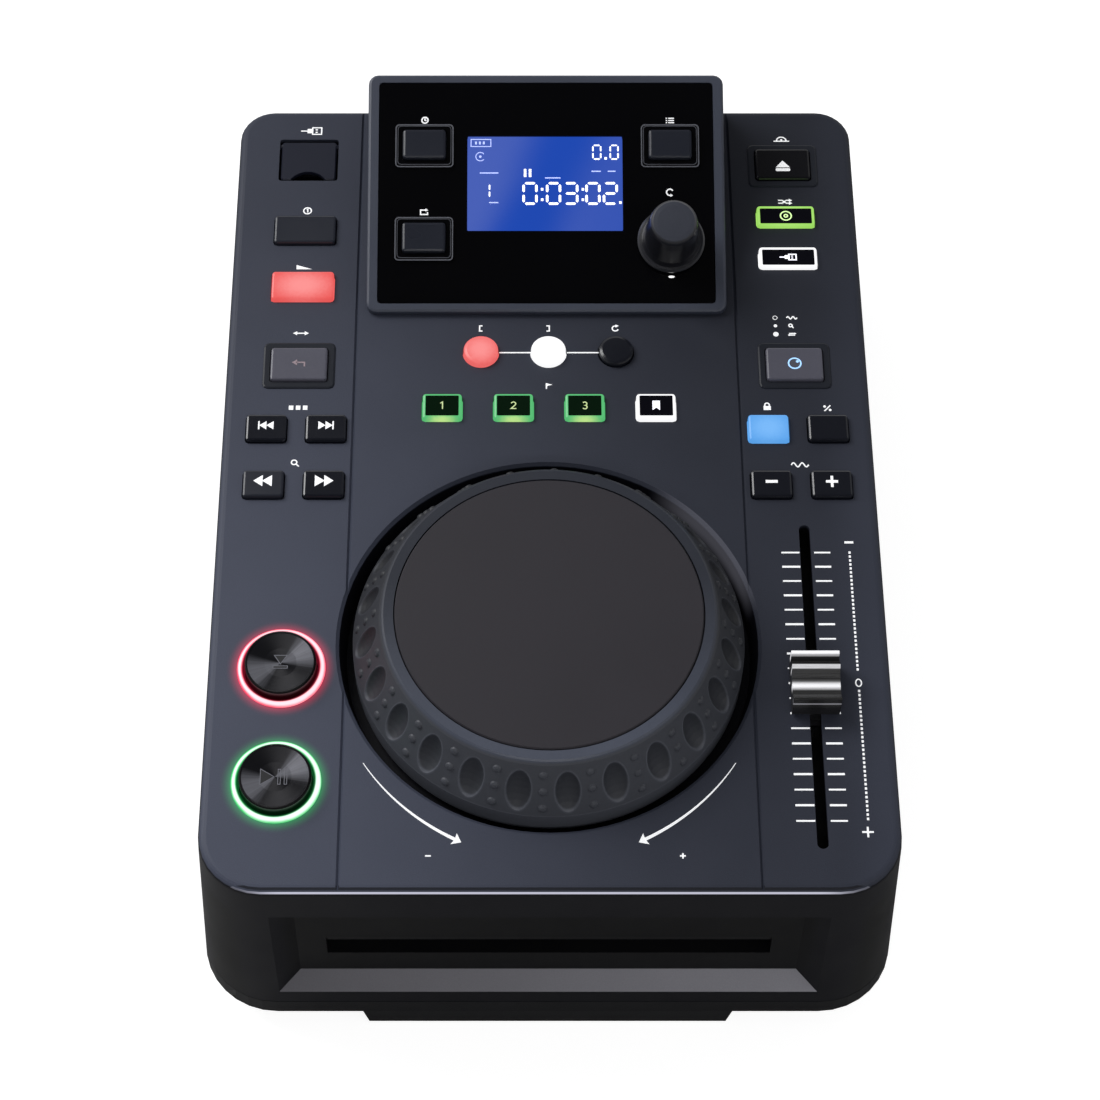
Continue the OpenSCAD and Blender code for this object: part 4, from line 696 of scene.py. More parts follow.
# Each mark is a list of filled outlines, open paths and closed loops, in millimetres about its middle
MARKS = {
    "clock": [circle(1.35, 20), path((0, 0.9), (0, 0), (0.65, -0.25))],
    "loop": [path((0.7, 1.0), (-1.5, 1.0), (-1.5, -1.0), (1.5, -1.0), (1.5, 0.1)),
             fill((0.6, 1.7), (1.8, 1.0), (0.6, 0.3))],
    "list": [bar(x0, x1, y - 0.25, y + 0.25) for x0, x1 in ((-1.8, -1.2), (-0.7, 1.8)) for y in (1.0, 0, -1.0)],
    "turn": [arc(1.35, 14, 0, 0, 30, 250), fill((0.2, -2.0), (0.2, -0.6), (1.25, -1.3))],
    "one": [circle(1.5, 22), path((-0.3, 0.45), (0.1, 0.8), (0.1, -0.85))],
    "ramp": [fill((-3.0, 1.1), (3.0, -0.9), (-3.0, -0.9))],
    "two_way": [arrow(2.2, 0, 0.75), arrow(2.2, 0, 0.75, -1), path((-1.6, 0), (1.6, 0))],
    "tracks": [bar(x - 0.9, x + 0.9, -1.0, 1.0) for x in (-2.8, 0.0, 2.8)],
    "glass": [circle(0.95, 18, -0.3, 0.3), path((0.4, -0.4), (1.4, -1.4))],
    "slot_disc": [arc(1.7, 16, 0, -0.6, 0, 180), path((-2.8, -0.75), (2.8, -0.75)), dot(0.4, 10, 0, -0.15)],
    "fork": [path((-2.6, -0.7), (-1.0, -0.7), (0.6, 0.7), (1.8, 0.7)), arrow(2.2, 0.7, 0.6),
             path((-2.6, 0.7), (-1.0, 0.7), (0.6, -0.7), (1.8, -0.7)), arrow(2.2, -0.7, 0.6)],
    "lock": [bar(-1.3, 1.3, -1.4, 0.3),
             path((-0.8, 0.2), *ring_points(0.8, 10, 0, 0.75, 180, -180), (0.8, 0.2))],
    "percent": [path((-1.1, -1.2), (1.1, 1.2)), dot(0.5, 12, -0.95, 0.75), dot(0.5, 12, 0.95, -0.75)],
    "wave": [path(*((x / 4, 0.9 * math.sin(x / 4 * math.pi / 1.6)) for x in range(-13, 14)))],
    "left_bracket": [path((0.6, 1.2), (-0.5, 1.2), (-0.5, -1.2), (0.6, -1.2))],
    "again": [arc(1.1, 14, 0, 0, 60, 280), fill((0.1, 1.7), (0.1, 0.4), (1.3, 1.15))],
    "flag": [path((-0.9, -1.2), (-0.9, 1.2)), fill((-0.8, 1.25), (1.2, 0.6), (-0.8, 0.0))],
    "minus": [bar(-1.0, 1.0, -0.28, 0.28)],
    "plus": cross(1.0, 0.28),
    "thin_plus": cross(1.0, 0.17),
    "plug": [loop(*box_points(0.2, 3.0, -1.3, 1.3)), bar(-1.4, 0.2, -0.85, 0.85), path((-3.4, 0), (-1.4, 0)),
             bar(1.1, 1.8, 0.25, 0.7), bar(1.1, 1.8, -0.7, -0.25)],
    "both_ways": [path((-1.7, 0.5), (1.7, 0.5)), arrow(1.9, 0.5, 0.5),
                  path((-1.7, -0.6), (1.7, -0.6)), arrow(1.9, -0.6, 0.5, -1)],
    "disc": [circle(1.9, 26), circle(0.6, 14)],
    "jog": [circle(2.1, 26), dot(0.5, 12, 0.95, 0.75)],
    "back_turn": [path((1.9, -1.3), (1.9, 0.4), (-0.9, 0.4)), fill((-0.6, 1.6), (-2.4, 0.4), (-0.6, -0.8))],
    "ribbon": [fill((-1.25, 1.9), (1.25, 1.9), (1.25, -1.9), (0.0, -0.8)),
               fill((-1.25, 1.9), (0.0, -0.8), (-1.25, -1.9))],
    "skip_back": [bar(-2.7, -2.2, -1.65, 1.65), fill((-2.3, 0), (0.1, 1.65), (0.1, -1.65)),
                  fill((0.1, 0), (2.5, 1.65), (2.5, -1.65))],
    "seek_back": [fill((-3.3, 0), (-0.2, 2.2), (-0.2, -2.2)), fill((-0.4, 0), (2.9, 2.2), (2.9, -2.2))],
    "eject": [fill((-2.55, -0.25), (2.55, -0.25), (0.0, 2.75)), fill(*round_box(5.1, 1.25, 0.35, 3, 0, -1.3))],
    "key_minus": [bar(-2.0, 2.0, -0.55, 0.55)],
    "key_plus": [bar(-2.0, 2.0, -0.5, 0.5), bar(-0.45, 0.45, -2.2, 2.2)],
    "1": [path((-0.55, 0.85), (0.15, 1.4), (0.15, -1.4))],
    "2": [path(*ring_points(0.75, 10, 0, 0.65, 165, -195), (-0.8, -1.25), (0.95, -1.25))],
    "3": [path(*ring_points(0.68, 10, 0, 0.7, 150, -240), *ring_points(0.75, 10, 0, -0.65, 100, -250)[1:])],
    "start": [fill((-1.7, 2.2), (1.7, 2.2), (0.0, -0.4)), bar(-1.9, 1.9, -1.7, -1.0)],
    "play": [fill((-4.6, 2.7), (-0.3, 0.0), (-4.6, -2.7))],
}
for mark, opposite in (("left_bracket", "right_bracket"), ("skip_back", "skip_forward"),
                       ("seek_back", "seek_forward")):
    MARKS[opposite] = [(kind, [(-x, y) for x, y in points]) for kind, points in MARKS[mark]]


def key_top(name):
    """Middle, height and size of a key's top, in the deck's print plane."""
    centre, half = (v / MM for v in centre_of(name))
    return centre.x, centre.y + DECK_DEPTH / 2, centre.z + half.z - DECK_TOP, 2 * half.x, 2 * half.y


def own(key, ending):
    """Name of a piece or a finish that belongs to a key."""
    return key.replace("_key", ending)


# ------------------------------------------------------------------ operators
# Stretch of the scratches that run up, from front to rear and across
UPRIGHT, LENGTHWISE, CROSSWISE = (40.0, 40.0, 1.0), (40.0, 1.0, 40.0), (1.0, 30.0, 30.0)
PANEL_KEYS = ("time_key", "repeat_key", "program_key")


class Dressing:
    """Shared settings of the operators."""
    bl_options = {"REGISTER"}

    def settings(self, context):
        return context.scene.disc_player_colours, context.scene.disc_player_sizes


class DISCPLAYER_OT_skins(Dressing, bpy.types.Operator):
    """Makes the shader groups that the finishes share"""
    bl_idname = "discplayer.skins"
    bl_label = "Shared skins"

    def execute(self, context):
        for name in GROUPS:
            make_group(name)
        return {"FINISHED"}


class DISCPLAYER_OT_shells(Dressing, bpy.types.Operator):
    """Dresses the top cover, the pod frame, the tray, the feet and the screws"""
    bl_idname = "discplayer.shells"
    bl_label = "Shells"

    def execute(self, context):
        tones, sizes = self.settings(context)
        grain = sizes.grain
        dress(self.deck_plastic(tones, grain), "top_cover")
        dress(moulded("pod_plastic", tones.pod, 0.42, grain, depth=4e-5), "display_housing")
        dress(moulded("tray_coat", tones.tray, 0.5, 0.0006, 0.15, 6e-5, Specular_IOR_Level=0.3), "bottom_tray")
        dress(moulded("foot_rubber", (0.012, 0.012, 0.013), 0.75, 0.0005, 0.3, 5e-5), "rubber_feet")
        dress(brushed("blackened_screws", (0.09, 0.09, 0.1), 0.42, UPRIGHT), "case_screws")
        dress(moulded("bezel_plastic", srgb("20232b"), 0.4, grain, depth=1e-5, **DULL), "button_bezels")
        dress(moulded("flap_plastic", srgb("1b1e2c"), 0.46, grain, **DULL), "usb_flap")
        soften(sizes.softening, "usb_flap", "bottom_tray")
        return {"FINISHED"}

    def deck_plastic(self, tones, grain):
        """Moulded plastic with painted light and shade: near black walls and recess, a pale ledge and highlight
        line at the front, and the two lit rings' glow painted on the deck.
        """
        finish = Finish("deck_plastic", Specular_IOR_Level=0.22, Emission_Strength=1.0)
        zone = finish.group("cover_zones")
        x, _, _ = finish.where.split()
        # Painted shade: the walls and the seam take a near black tone; the deck's tone carries its painted fall
        # of light
        tone = mix(zone["wall"], zone["deck"] * tuple(tones.deck), srgb("0d0d15"))
        # Painted shade: near black inside the recess
        tone = mix(zone["recess"], tone, srgb("060609"))
        # Painted light: the ledge's upward slope is painted pale grey, paler towards its right
        tone = mix(zone["ledge"], tone, mix(x.linear(-0.085, 0.085), srgb("737278"), srgb("9f9ea6")))
        skin = finish.group("moulded_skin", colour=tone, roughness=0.5, grain=grain, clouding=0.14)
        polish = zone["edge"].linear(0.0, 1.0, 1.0, 0.6)
        finish.set(Base_Color=skin["colour"], Roughness=skin["roughness"] * polish)
        finish.bump(skin["height"], 4e-5, zone["normal"])
        # Painted highlights given off as emission: a bright line along the front edge and a faint bluish one on
        # the jog well's wall
        painted_highlight = zone["edge"] * 0.52 + zone["well"] * 0.045
        glow = join(painted_highlight, painted_highlight, painted_highlight * 1.2)
        # Painted light: the glow of each lit ring painted on the deck round it
        for ring, light in (("cue_light_ring", tones.cue_glow), ("play_light_ring", tones.play_glow)):
            centre, _ = centre_of(ring)
            painted_halo = finish.group("painted_halo_skin", centre=(centre.x, centre.y, 0.0))["mask"]
            glow = glow + painted_halo * 0.55 * tuple(light)
        finish.set(Emission_Color=glow)
        return finish.material


class DISCPLAYER_OT_display(Dressing, bpy.types.Operator):
    """Dresses the gloss panel and the lit display, and draws the display's digits"""
    bl_idname = "discplayer.display"
    bl_label = "Display"

    LEFT, TOP, WIDE, HIGH = -27.35, 64.05, 53.9, 34.7
    # Places and sizes on the display are shares of its width and height, from its top left corner
    LARGE, SMALL = (0.082, 0.215), (0.05, 0.145)
    DIGITS = (("0", 0.4035, 0.604, LARGE), ("0", 0.555, 0.604, LARGE), ("3", 0.666, 0.604, LARGE),
              ("0", 0.8085, 0.604, LARGE), ("2", 0.9205, 0.604, LARGE), ("0", 0.835, 0.168, SMALL),
              ("0", 0.947, 0.168, SMALL), ("1", 0.118, 0.575, SMALL))
    STOPS = ((0.4816, 0.56), (0.4816, 0.67), (0.7437, 0.56), (0.7437, 0.67), (0.892, 0.233), (0.985, 0.70))
    RULES = ((0.14, 0.388, 0.12), (0.83, 0.37, 0.06), (0.93, 0.37, 0.05), (0.55, 0.44, 0.1), (0.17, 0.7, 0.06))
    SEGMENTS = {"0": "abcdef", "1": "bc", "2": "abged", "3": "abgcd"}
    # Each segment's two ends, in halves of the digit's width and height
    ENDS = {"a": (-1, 1, 1, 1), "b": (1, 1, 1, 0), "c": (1, 0, 1, -1), "d": (-1, -1, 1, -1),
            "e": (-1, 0, -1, -1), "f": (-1, 1, -1, 0), "g": (-1, 0, 1, 0)}

    def execute(self, context):
        tones, _ = self.settings(context)
        dress(moulded("gloss_panel", tones.gloss, 0.1, 0.0015, depth=5e-7, **DULL), "display_panel")
        dress(self.lit_display(tones), "lcd_module")
        # The display's face lies a little under the panel's
        bright = Plates(POD, -0.32, -0.27)
        for text, u, v, size in self.DIGITS:
            self.digit(bright, text, u, v, *size)
        for u, v in self.STOPS:
            bright.fill(self.window(u, v, 0.016, 0.026))
        for u in (0.372, 0.404):
            bright.fill(self.window(u, 0.388, 0.016, 0.084))
        bright.make("display_digits", ink("lit_digits", (0.93, 0.96, 1.0), 0.9), HOUSING)
        faint = Plates(POD, -0.32, -0.28)
        faint.line(self.window(0.087, 0.07, 0.128, 0.075), 0.3, True)
        dial = self.at(0.083, 0.215)
        faint.line(ring_points(1.55, 18, *dial, 40, 280), 0.3)
        faint.fill(ring_points(0.45, 12, *dial))
        for u in (0.055, 0.08, 0.105):
            faint.fill(self.window(u, 0.07, 0.012, 0.03))
        for u, v, wide in self.RULES:
            faint.fill(self.window(u, v, wide, 0.012))
        faint.make("display_marks", ink("faint_marks", srgb("a9b6ee"), 0.8), HOUSING)
        return {"FINISHED"}

    def lit_display(self, tones):
        """A lit ground with slanting pale bands and fine cells."""
        finish = Finish("lit_display", Emission_Strength=1.0, Roughness=0.2, Specular_IOR_Level=0.2)
        where = finish.where
        x, y, _ = where.split()
        wave = compute("SINE", (x * 62.0 - y * 28.0) * 2.0 + 4.4)
        pale = (wave + where.noise(40.0) * 0.5).smooth(-0.8, 1.2) * x.smooth(-0.027, 0.027, 1.0, 0.5)
        ground = mix(pale, tuple(tones.display), tuple(tones.display_pale))
        cells = where.noise(2600.0, 1.0).linear(0.3, 0.7, 0.0, 0.07)
        glow = mix(cells, ground, (0.02, 0.05, 0.3))
        finish.set(Emission_Color=glow, Base_Color=glow * 0.1)
        return finish.material

    def at(self, u, v):
        return self.LEFT + u * self.WIDE, self.TOP - v * self.HIGH

    def window(self, u, v, wide, high):
        x, y = self.at(u, v)
        return box_points(x - wide * self.WIDE / 2, x + wide * self.WIDE / 2,
                          y - high * self.HIGH / 2, y + high * self.HIGH / 2)

    def digit(self, plates, text, u, v, wide, high):
        """A seven-segment digit made of bars with pointed ends."""
        x, y = self.at(u, v)
        half_wide, half_high = wide * self.WIDE / 2, high * self.HIGH / 2
        thick = half_wide * 0.4
        gap = thick * 0.45
        for segment in self.SEGMENTS[text]:
            x0, y0, x1, y1 = self.ENDS[segment]
            start = Vector((x + x0 * half_wide, y + y0 * half_high))
            end = Vector((x + x1 * half_wide, y + y1 * half_high))
            along = (end - start).normalized()
            start, end = start + along * gap, end - along * gap
            side = Vector((-along.y, along.x)) * thick / 2
            a, b = start + along * thick / 2, end - along * thick / 2
            plates.fill([tuple(p) for p in (start, a - side, b - side, end, b + side, a + side)])


class DISCPLAYER_OT_lit_keys(Dressing, bpy.types.Operator):
    """Dresses the lit keys and lays the dark windows of the framed ones"""
    bl_idname = "discplayer.lit_keys"
    bl_label = "Lit keys"

    # How much wider a key's flange is than its cap, and the frame left at each side of a window
    FLANGE, FRAME = 2.4, 1.0
    # Each framed key: its glass, its sign's ink, its sign, and the frame left at its front and rear
    FRAMED = (("hot_cue_1_key", "green", "digit", "1", 1.15, 1.0),
              ("hot_cue_2_key", "green", "digit", "2", 1.15, 1.0),
              ("hot_cue_3_key", "green", "digit", "3", 1.15, 1.0),
              ("memo_key", "dark", "white", "ribbon", 1.15, 1.0),
              ("source_disc_key", "dark", "lime", "disc", 0.65, 1.35),
              ("source_usb_key", "dark", "white", "plug", 0.65, 1.35))

    def execute(self, context):
        tones, sizes = self.settings(context)
        red, white = (tones.red_core, tones.red_key), (WHITE, tones.white_key)
        for name, (core, rim) in (
                ("loop_in_key", red), ("brake_key", red), ("loop_out_key", white), ("memo_key", white),
                ("source_usb_key", white), ("source_disc_key", (tones.lime_core, tones.lime_key)),
                ("master_tempo_key", (tones.blue_core, tones.blue_key))):
            centre, half = centre_of(name)
            dress(lit(own(name, "_light"), core, rim, centre, (half.x, half.y, 1.0)), name)
        for name in ("hot_cue_1_key", "hot_cue_2_key", "hot_cue_3_key"):
            centre, half = centre_of(name)
            centre.y -= half.y
            spread = (half.x * 0.75, half.y * 0.5, 1.0)
            dress(lit(own(name, "_light"), tones.green_core, tones.green_key, centre, spread), name)
        glass = {tint: moulded(tint + "_window", srgb(code), 0.12, sizes.grain, 0.2, 0.0, **DULL)
                 for tint, code in (("green", "071a0c"), ("dark", "0b0b12"))}
        lights = ("digit", "b7c98f", 0.55), ("lime", "c9eda0", 0.8), ("white", "f4f4ff", 0.8)
        inks = {light: ink("lit_" + light, srgb(code), level) for light, code, level in lights}
        for name, tint, light, mark, front, rear in self.FRAMED:
            x, y, top, wide, deep = key_top(name)
            y += (front - rear) / 2
            window = Plates(DECK, top - 0.1, top + 0.06)
            wide, deep = wide - self.FLANGE - 2 * self.FRAME, deep - self.FLANGE - front - rear
            window.fill(round_box(wide, deep, 0.35, 3, x, y))
            window.make(own(name, "_window"), glass[tint], NODE_BODY[name])
            sign = Plates(DECK, top + 0.02, top + 0.1)
            stroke = sizes.stroke / MM * (0.8 if light == "digit" else 1.0)
            sign.draw(mark, x, y, stroke, 0.9 if mark == "plug" else 1.0)
            sign.make(own(name, "_mark"), inks[light], NODE_BODY[name])
        return {"FINISHED"}


class DISCPLAYER_OT_dark_keys(Dressing, bpy.types.Operator):
    """Dresses the unlit keys and prints their marks"""
    bl_idname = "discplayer.dark_keys"
    bl_label = "Dark keys"

    PLAIN = ("track_back_key", "track_forward_key", "search_forward_key", "pitch_range_key", "bend_minus_key",
             "bend_plus_key", "reloop_key")
    # Each printed key: its mark, and how far that stands behind the key's middle
    MARKED = (("track_back_key", "skip_back", 0.7), ("track_forward_key", "skip_forward", 0.7),
              ("search_back_key", "seek_back", 0.9), ("search_forward_key", "seek_forward", 0.9),
              ("eject_key", "eject", -1.5), ("bend_minus_key", "key_minus", 0.6),
              ("bend_plus_key", "key_plus", 0.6), ("reverse_key", "back_turn", 0.0),
              ("jog_mode_key", "jog", 0.0))

    def execute(self, context):
        tones, sizes = self.settings(context)
        coat = {"Coat_Weight": 0.35, "Coat_Roughness": 0.12}
        for name, tone, roughness, clouding, shader, nodes in (
                ("key_gloss", tones.dark_key, 0.2, 0.12, coat, self.PLAIN),
                # A paler copy of the dark key plastic, its paleness a painted sheen
                ("key_slate", srgb("22252f"), 0.3, 0.12, {}, ("single_key", "search_back_key", *PANEL_KEYS)),
                ("key_black", srgb("0d0d12"), 0.24, 0.1, {}, ("eject_key",)),
                ("key_smoke", srgb("53535f"), 0.34, 0.1, {}, ("reverse_key", "jog_mode_key"))):
            dress(moulded(name, tone, roughness, 0.0009, clouding, 4e-6, **shader), *nodes)
        white = ink("key_print", tones.prints, 0.34)
        tints = {"reverse_key": ink("dim_red", srgb("8f7f86"), 0.15),
                 "jog_mode_key": ink("glow_blue", srgb("9cc8f8"), 0.75)}
        for name, mark, behind in self.MARKED:
            x, y, top, _, _ = key_top(name)
            sign = Plates(DECK, top - 0.05, top + sizes.ink / MM)
            sign.draw(mark, x, y + behind, sizes.stroke / MM * 1.1)
            sign.make(own(name, "_mark"), tints.get(name, white), NODE_BODY[name])
        return {"FINISHED"}


class DISCPLAYER_OT_round_keys(Dressing, bpy.types.Operator):
    """Dresses the turned cue and play keys, their marks and their lit rings"""
    bl_idname = "discplayer.round_keys"
    bl_label = "Cue and play keys"

    # How far the engraved face lies under the key's rim, and the width of an engraved edge
    SUNK, EDGE = 0.75, 0.22

    def execute(self, context):
        tones, sizes = self.settings(context)
        dark = ink("engraved", srgb("16161a"))
        pale = ink("engraved_edge", srgb("70717a"))
        for name, ring, mark, scale, core, rim in (
                ("cue_key", "cue_light_ring", "start", 1.2, tones.cue_core, tones.cue_glow),
                ("play_key", "play_light_ring", "play", 1.0, tones.play_core, tones.play_glow)):
            centre, _ = centre_of(name)
            centre.z = 0.0
            self.turned(name, centre)
            self.glow(ring, centre, core, rim, sizes.ring_glow)
            x, y, top, _, _ = key_top(name)
            top -= self.SUNK
            sign, edge = Plates(DECK, top - 0.1, top + 0.12), Plates(DECK, top - 0.1, top + 0.13)
            sign.draw(mark, x, y, 0.5, scale)
            for _, outline in MARKS[mark]:
                edge.line(shift(outline, x, y, scale), self.EDGE, True)
            if name == "play_key":
                for left in (0.9, 2.9):
                    edge.line(shift(box_points(left, left + 0.8, -2.6, 2.6), x, y), self.EDGE, True)
            edge.make(own(name, "_key_edges"), pale, NODE_BODY[name])
            sign.make(own(name, "_mark"), dark, NODE_BODY[name])
        return {"FINISHED"}

    def turned(self, name, axis):
        """Turned metal with a dark rim, whose highlights stretch round the axis, and with two bright fans
        painted on its face as a highlight.
        """
        finish = Finish(own(name, "_cap"), Metallic=0.45, Anisotropic=0.75)
        skin = finish.group("turned_skin", centre=axis)
        # Painted highlight: bright fans on a darker face
        face = mix(skin["sectors"], srgb("16161b"), srgb("7e7f87"))
        finish.set(Base_Color=mix(skin["face"], srgb("0c0c0e"), face), Roughness=skin["roughness"])
        finish.bump(skin["height"], 1.2e-5)
        x, y, _ = (finish.where - axis).split()
        finish.set(Tangent=compute("NORMALIZE", join(y * -1.0, x, 0.0)))
        dress(finish.material, name)

    def glow(self, name, axis, core, rim, strength):
        finish = Finish(name + "_glow", Emission_Strength=strength, Roughness=0.3)
        light = finish.group("ring_skin", core=tuple(core), rim=tuple(rim), centre=axis)["colour"]
        finish.set(Emission_Color=light, Base_Color=light * 0.2)
        dress(finish.material, name)


class DISCPLAYER_OT_jog(Dressing, bpy.types.Operator):
    """Dresses the jog wheel, its touch disc, its shaft and its bush"""
    bl_idname = "discplayer.jog"
    bl_label = "Jog wheel"

    # Height of the dimples' middles over the deck, in millimetres
    DIMPLE_RISE = 9.1

    def execute(self, context):
        tones, _ = self.settings(context)
        dress(self.wheel_rubber(tones), "jog_wheel")
        dress(moulded("touch_skin", tones.touch, 0.62, 0.00035, 0.22, 4e-5), "touch_disc")
        dress(brushed("ground_steel", (0.46, 0.46, 0.48), 0.3, UPRIGHT), "jog_shaft", "select_shaft")
        dress(brushed("turned_brass", (0.5, 0.36, 0.14), 0.34, UPRIGHT), "jog_bearing")
        return {"FINISHED"}

    def wheel_rubber(self, tones):
        """Rubbery cone with painted shade in its dimples, painted highlights on their rims, painted light on its
        front and foot, and a satin ring at its top.
        """
        finish = Finish("wheel_rubber", Specular_IOR_Level=0.4)
        centre, half = centre_of("jog_wheel")
        top = centre.z + half.z
        _, _, z = finish.where.split()
        ring = z.smooth(top - 0.0011, top - 0.0004)
        middle = (centre.x, centre.y, under_deck(-self.DIMPLE_RISE))
        zone = finish.group("wheel_zones", middle=middle, turn=JOG_TURN)
        # Painted shade in the dimples and painted highlights on their raised rims
        shade = zone["dimple"].linear(0.0, 1.0, 1.0, 0.62) + zone["rim"] * 0.5
        # Painted light on the side that faces the front
        shade = shade * zone["front"].linear(0.0, 1.0, 0.66, 1.8)
        # Painted light on the foot below the cone
        shade = shade * z.smooth(under_deck(-1.3), under_deck(-0.5), 1.0, 1.7)
        tone = mix(ring, tuple(tones.wheel), tuple(tones.wheel_ring)) * shade
        roughness = ring.linear(0.0, 1.0, 0.5, 0.4)
        finish.skin("moulded_skin", 2e-5, colour=tone, roughness=roughness, grain=0.0007, clouding=0.14)
        return finish.material


class DISCPLAYER_OT_fader(Dressing, bpy.types.Operator):
    """Dresses the pitch fader and its ridged cap"""
    bl_idname = "discplayer.fader"
    bl_label = "Pitch fader"

    # Painted reflections, bright over the crests and dark over the hollows: share of the way from the cap's
    # front to its rear, and level
    BANDS = ((0.0, 0.012), (0.265, 0.012), (0.305, 0.45), (0.35, 0.95), (0.39, 0.85), (0.44, 0.09),
             (0.48, 0.02), (0.625, 0.02), (0.645, 0.62), (0.69, 0.62), (0.71, 0.004), (0.905, 0.004),
             (0.925, 0.95), (0.98, 0.95), (1.0, 0.004))

    def execute(self, context):
        dress(self.plating_and_painted_reflections(), "pitch_cap")
        dress(brushed("fader_steel", (0.05, 0.05, 0.055), 0.5, LENGTHWISE), "pitch_fader_body")
        dress(brushed("lever_steel", (0.3, 0.3, 0.32), 0.4, UPRIGHT), "pitch_lever")
        return {"FINISHED"}

    def plating_and_painted_reflections(self):
        """Plated plastic painted with reflections: bright and dark bands over its ridges, dark below them and a
        pale highlight line on its front, which also glow faintly.
        """
        finish = Finish("plating_and_painted_reflections", Metallic=0.3, Emission_Strength=0.5)
        low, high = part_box("pitch_cap")
        _, y, z = finish.where.split()
        ramp = new_node("ShaderNodeValToRGB", y)
        put(ramp.inputs["Fac"], y.linear(low.y, high.y))
        stops = ramp.color_ramp.elements
        for at, level in self.BANDS:
            stop = stops[0] if at == 0.0 else stops[-1] if at == 1.0 else stops.new(at)
            stop.color = (level, level, level * 1.03, 1.0)
        # Painted shade below the crests, and a painted highlight line along the cap's front
        crest = z.smooth(high.z - 0.0062, high.z - 0.0054)
        line = z.near(high.z - 0.0038, 0.0004) * y.under(low.y + 0.002)
        tone = mix(line, mix(crest, (0.008, 0.008, 0.009), Field(ramp.outputs["Color"])), srgb("88888e"))
        skin = finish.skin("brushed_skin", 4e-6, colour=tone, roughness=0.3, stretch=CROSSWISE)
        # The painted reflections also glow faintly
        finish.set(Emission_Color=skin["colour"])
        return finish.material


class DISCPLAYER_OT_knob(Dressing, bpy.types.Operator):
    """Dresses the select knob"""
    bl_idname = "discplayer.knob"
    bl_label = "Select knob"

    def execute(self, context):
        finish = Finish("knob_plastic", Coat_Weight=0.3, Coat_Roughness=0.15)
        lean = math.radians(POD_TILT)
        upward = Vector((0.0, -math.sin(lean), math.cos(lean)))
        top = max(v.co.dot(upward) for v in NODES["select_knob"].data.vertices)
        face = compute("DOT_PRODUCT", finish.where, upward).smooth(top - 0.0009, top - 0.0003)
        tone = mix(face, srgb("202127"), srgb("3e414b"))
        finish.skin("moulded_skin", 6e-6, colour=tone, roughness=0.3, grain=0.0008, clouding=0.12)
        dress(finish.material, "select_knob")
        return {"FINISHED"}


class DISCPLAYER_OT_inside(Dressing, bpy.types.Operator):
    """Dresses the boards, the disc drive and the sockets"""
    bl_idname = "discplayer.inside"
    bl_label = "Inside and rear"

    def execute(self, context):
        board = Finish("solder_mask", Coat_Weight=0.4, Coat_Roughness=0.2)
        board.skin("board_skin", 4e-5)
        dress(board.material, "control_board", "main_board", "display_board")
        dress(brushed("zinc_plate", (0.42, 0.43, 0.44), 0.38, CROSSWISE), "drive_frame", "traverse_plate")
        dress(brushed("screw_steel", (0.5, 0.5, 0.52), 0.3, LENGTHWISE), "lead_screw")
        dress(brushed("plated_shell", (0.62, 0.62, 0.64), 0.28, UPRIGHT), "usb_socket")
        drive = moulded("drive_plastic", (0.035, 0.035, 0.04), 0.45, 0.0005, 0.15, 2e-5)
        dress(drive, "turntable", "disc_clamp", "pickup_sled")
        dress(moulded("roller_rubber", (0.015, 0.015, 0.016), 0.7, 0.0004, 0.3, 4e-5), "loading_roller")
        dress(moulded("socket_plastic", BLACK_PLASTIC, 0.4, 0.0006, 0.2, 2e-5), "power_switch")
        dress(self.socket_parts(), "rear_sockets")
        for x, name, tone in ((PHONO_LEFT, "left", "e9e9ea"), (PHONO_RIGHT, "right", "b3161c")):
            ring = Plates(REAR, 0.5, 0.68)
            ring.line(ring_points(4.78, 32, -x), 0.95, True)
            plastic = moulded("ring_plastic_" + name, srgb(tone), 0.35, 0.0006, 0.08, 1e-5)
            ring.make("phono_ring_" + name, plastic, HOUSING)
        return {"FINISHED"}

    def socket_parts(self):
        """Black plastic with plated shells on the phono sockets and a plated pin in the power socket."""
        finish = Finish("socket_parts")
        x, y, z = finish.where.split()
        plated = 0.0
        # Each plated part: its place, its radius, and where it starts from the rear panel
        for at, reach, start in ((PHONO_LEFT, 4.25, 0.62), (PHONO_RIGHT, 4.25, 0.62), (POWER_PIN, 1.4, -12.0)):
            away = compute("LENGTH", join(x - at * MM, 0.0, z - SOCKET_Z * MM))
            plated = away.under(reach * MM) * y.over((REAR_PANEL + start) * MM) + plated
        tone = mix(plated, BLACK_PLASTIC, (0.72, 0.7, 0.66))
        roughness = plated.linear(0.0, 1.0, 0.42, 0.22)
        finish.skin("moulded_skin", 1e-5, colour=tone, roughness=roughness, grain=0.0006, clouding=0.15)
        finish.set(Metallic=plated)
        return finish.material


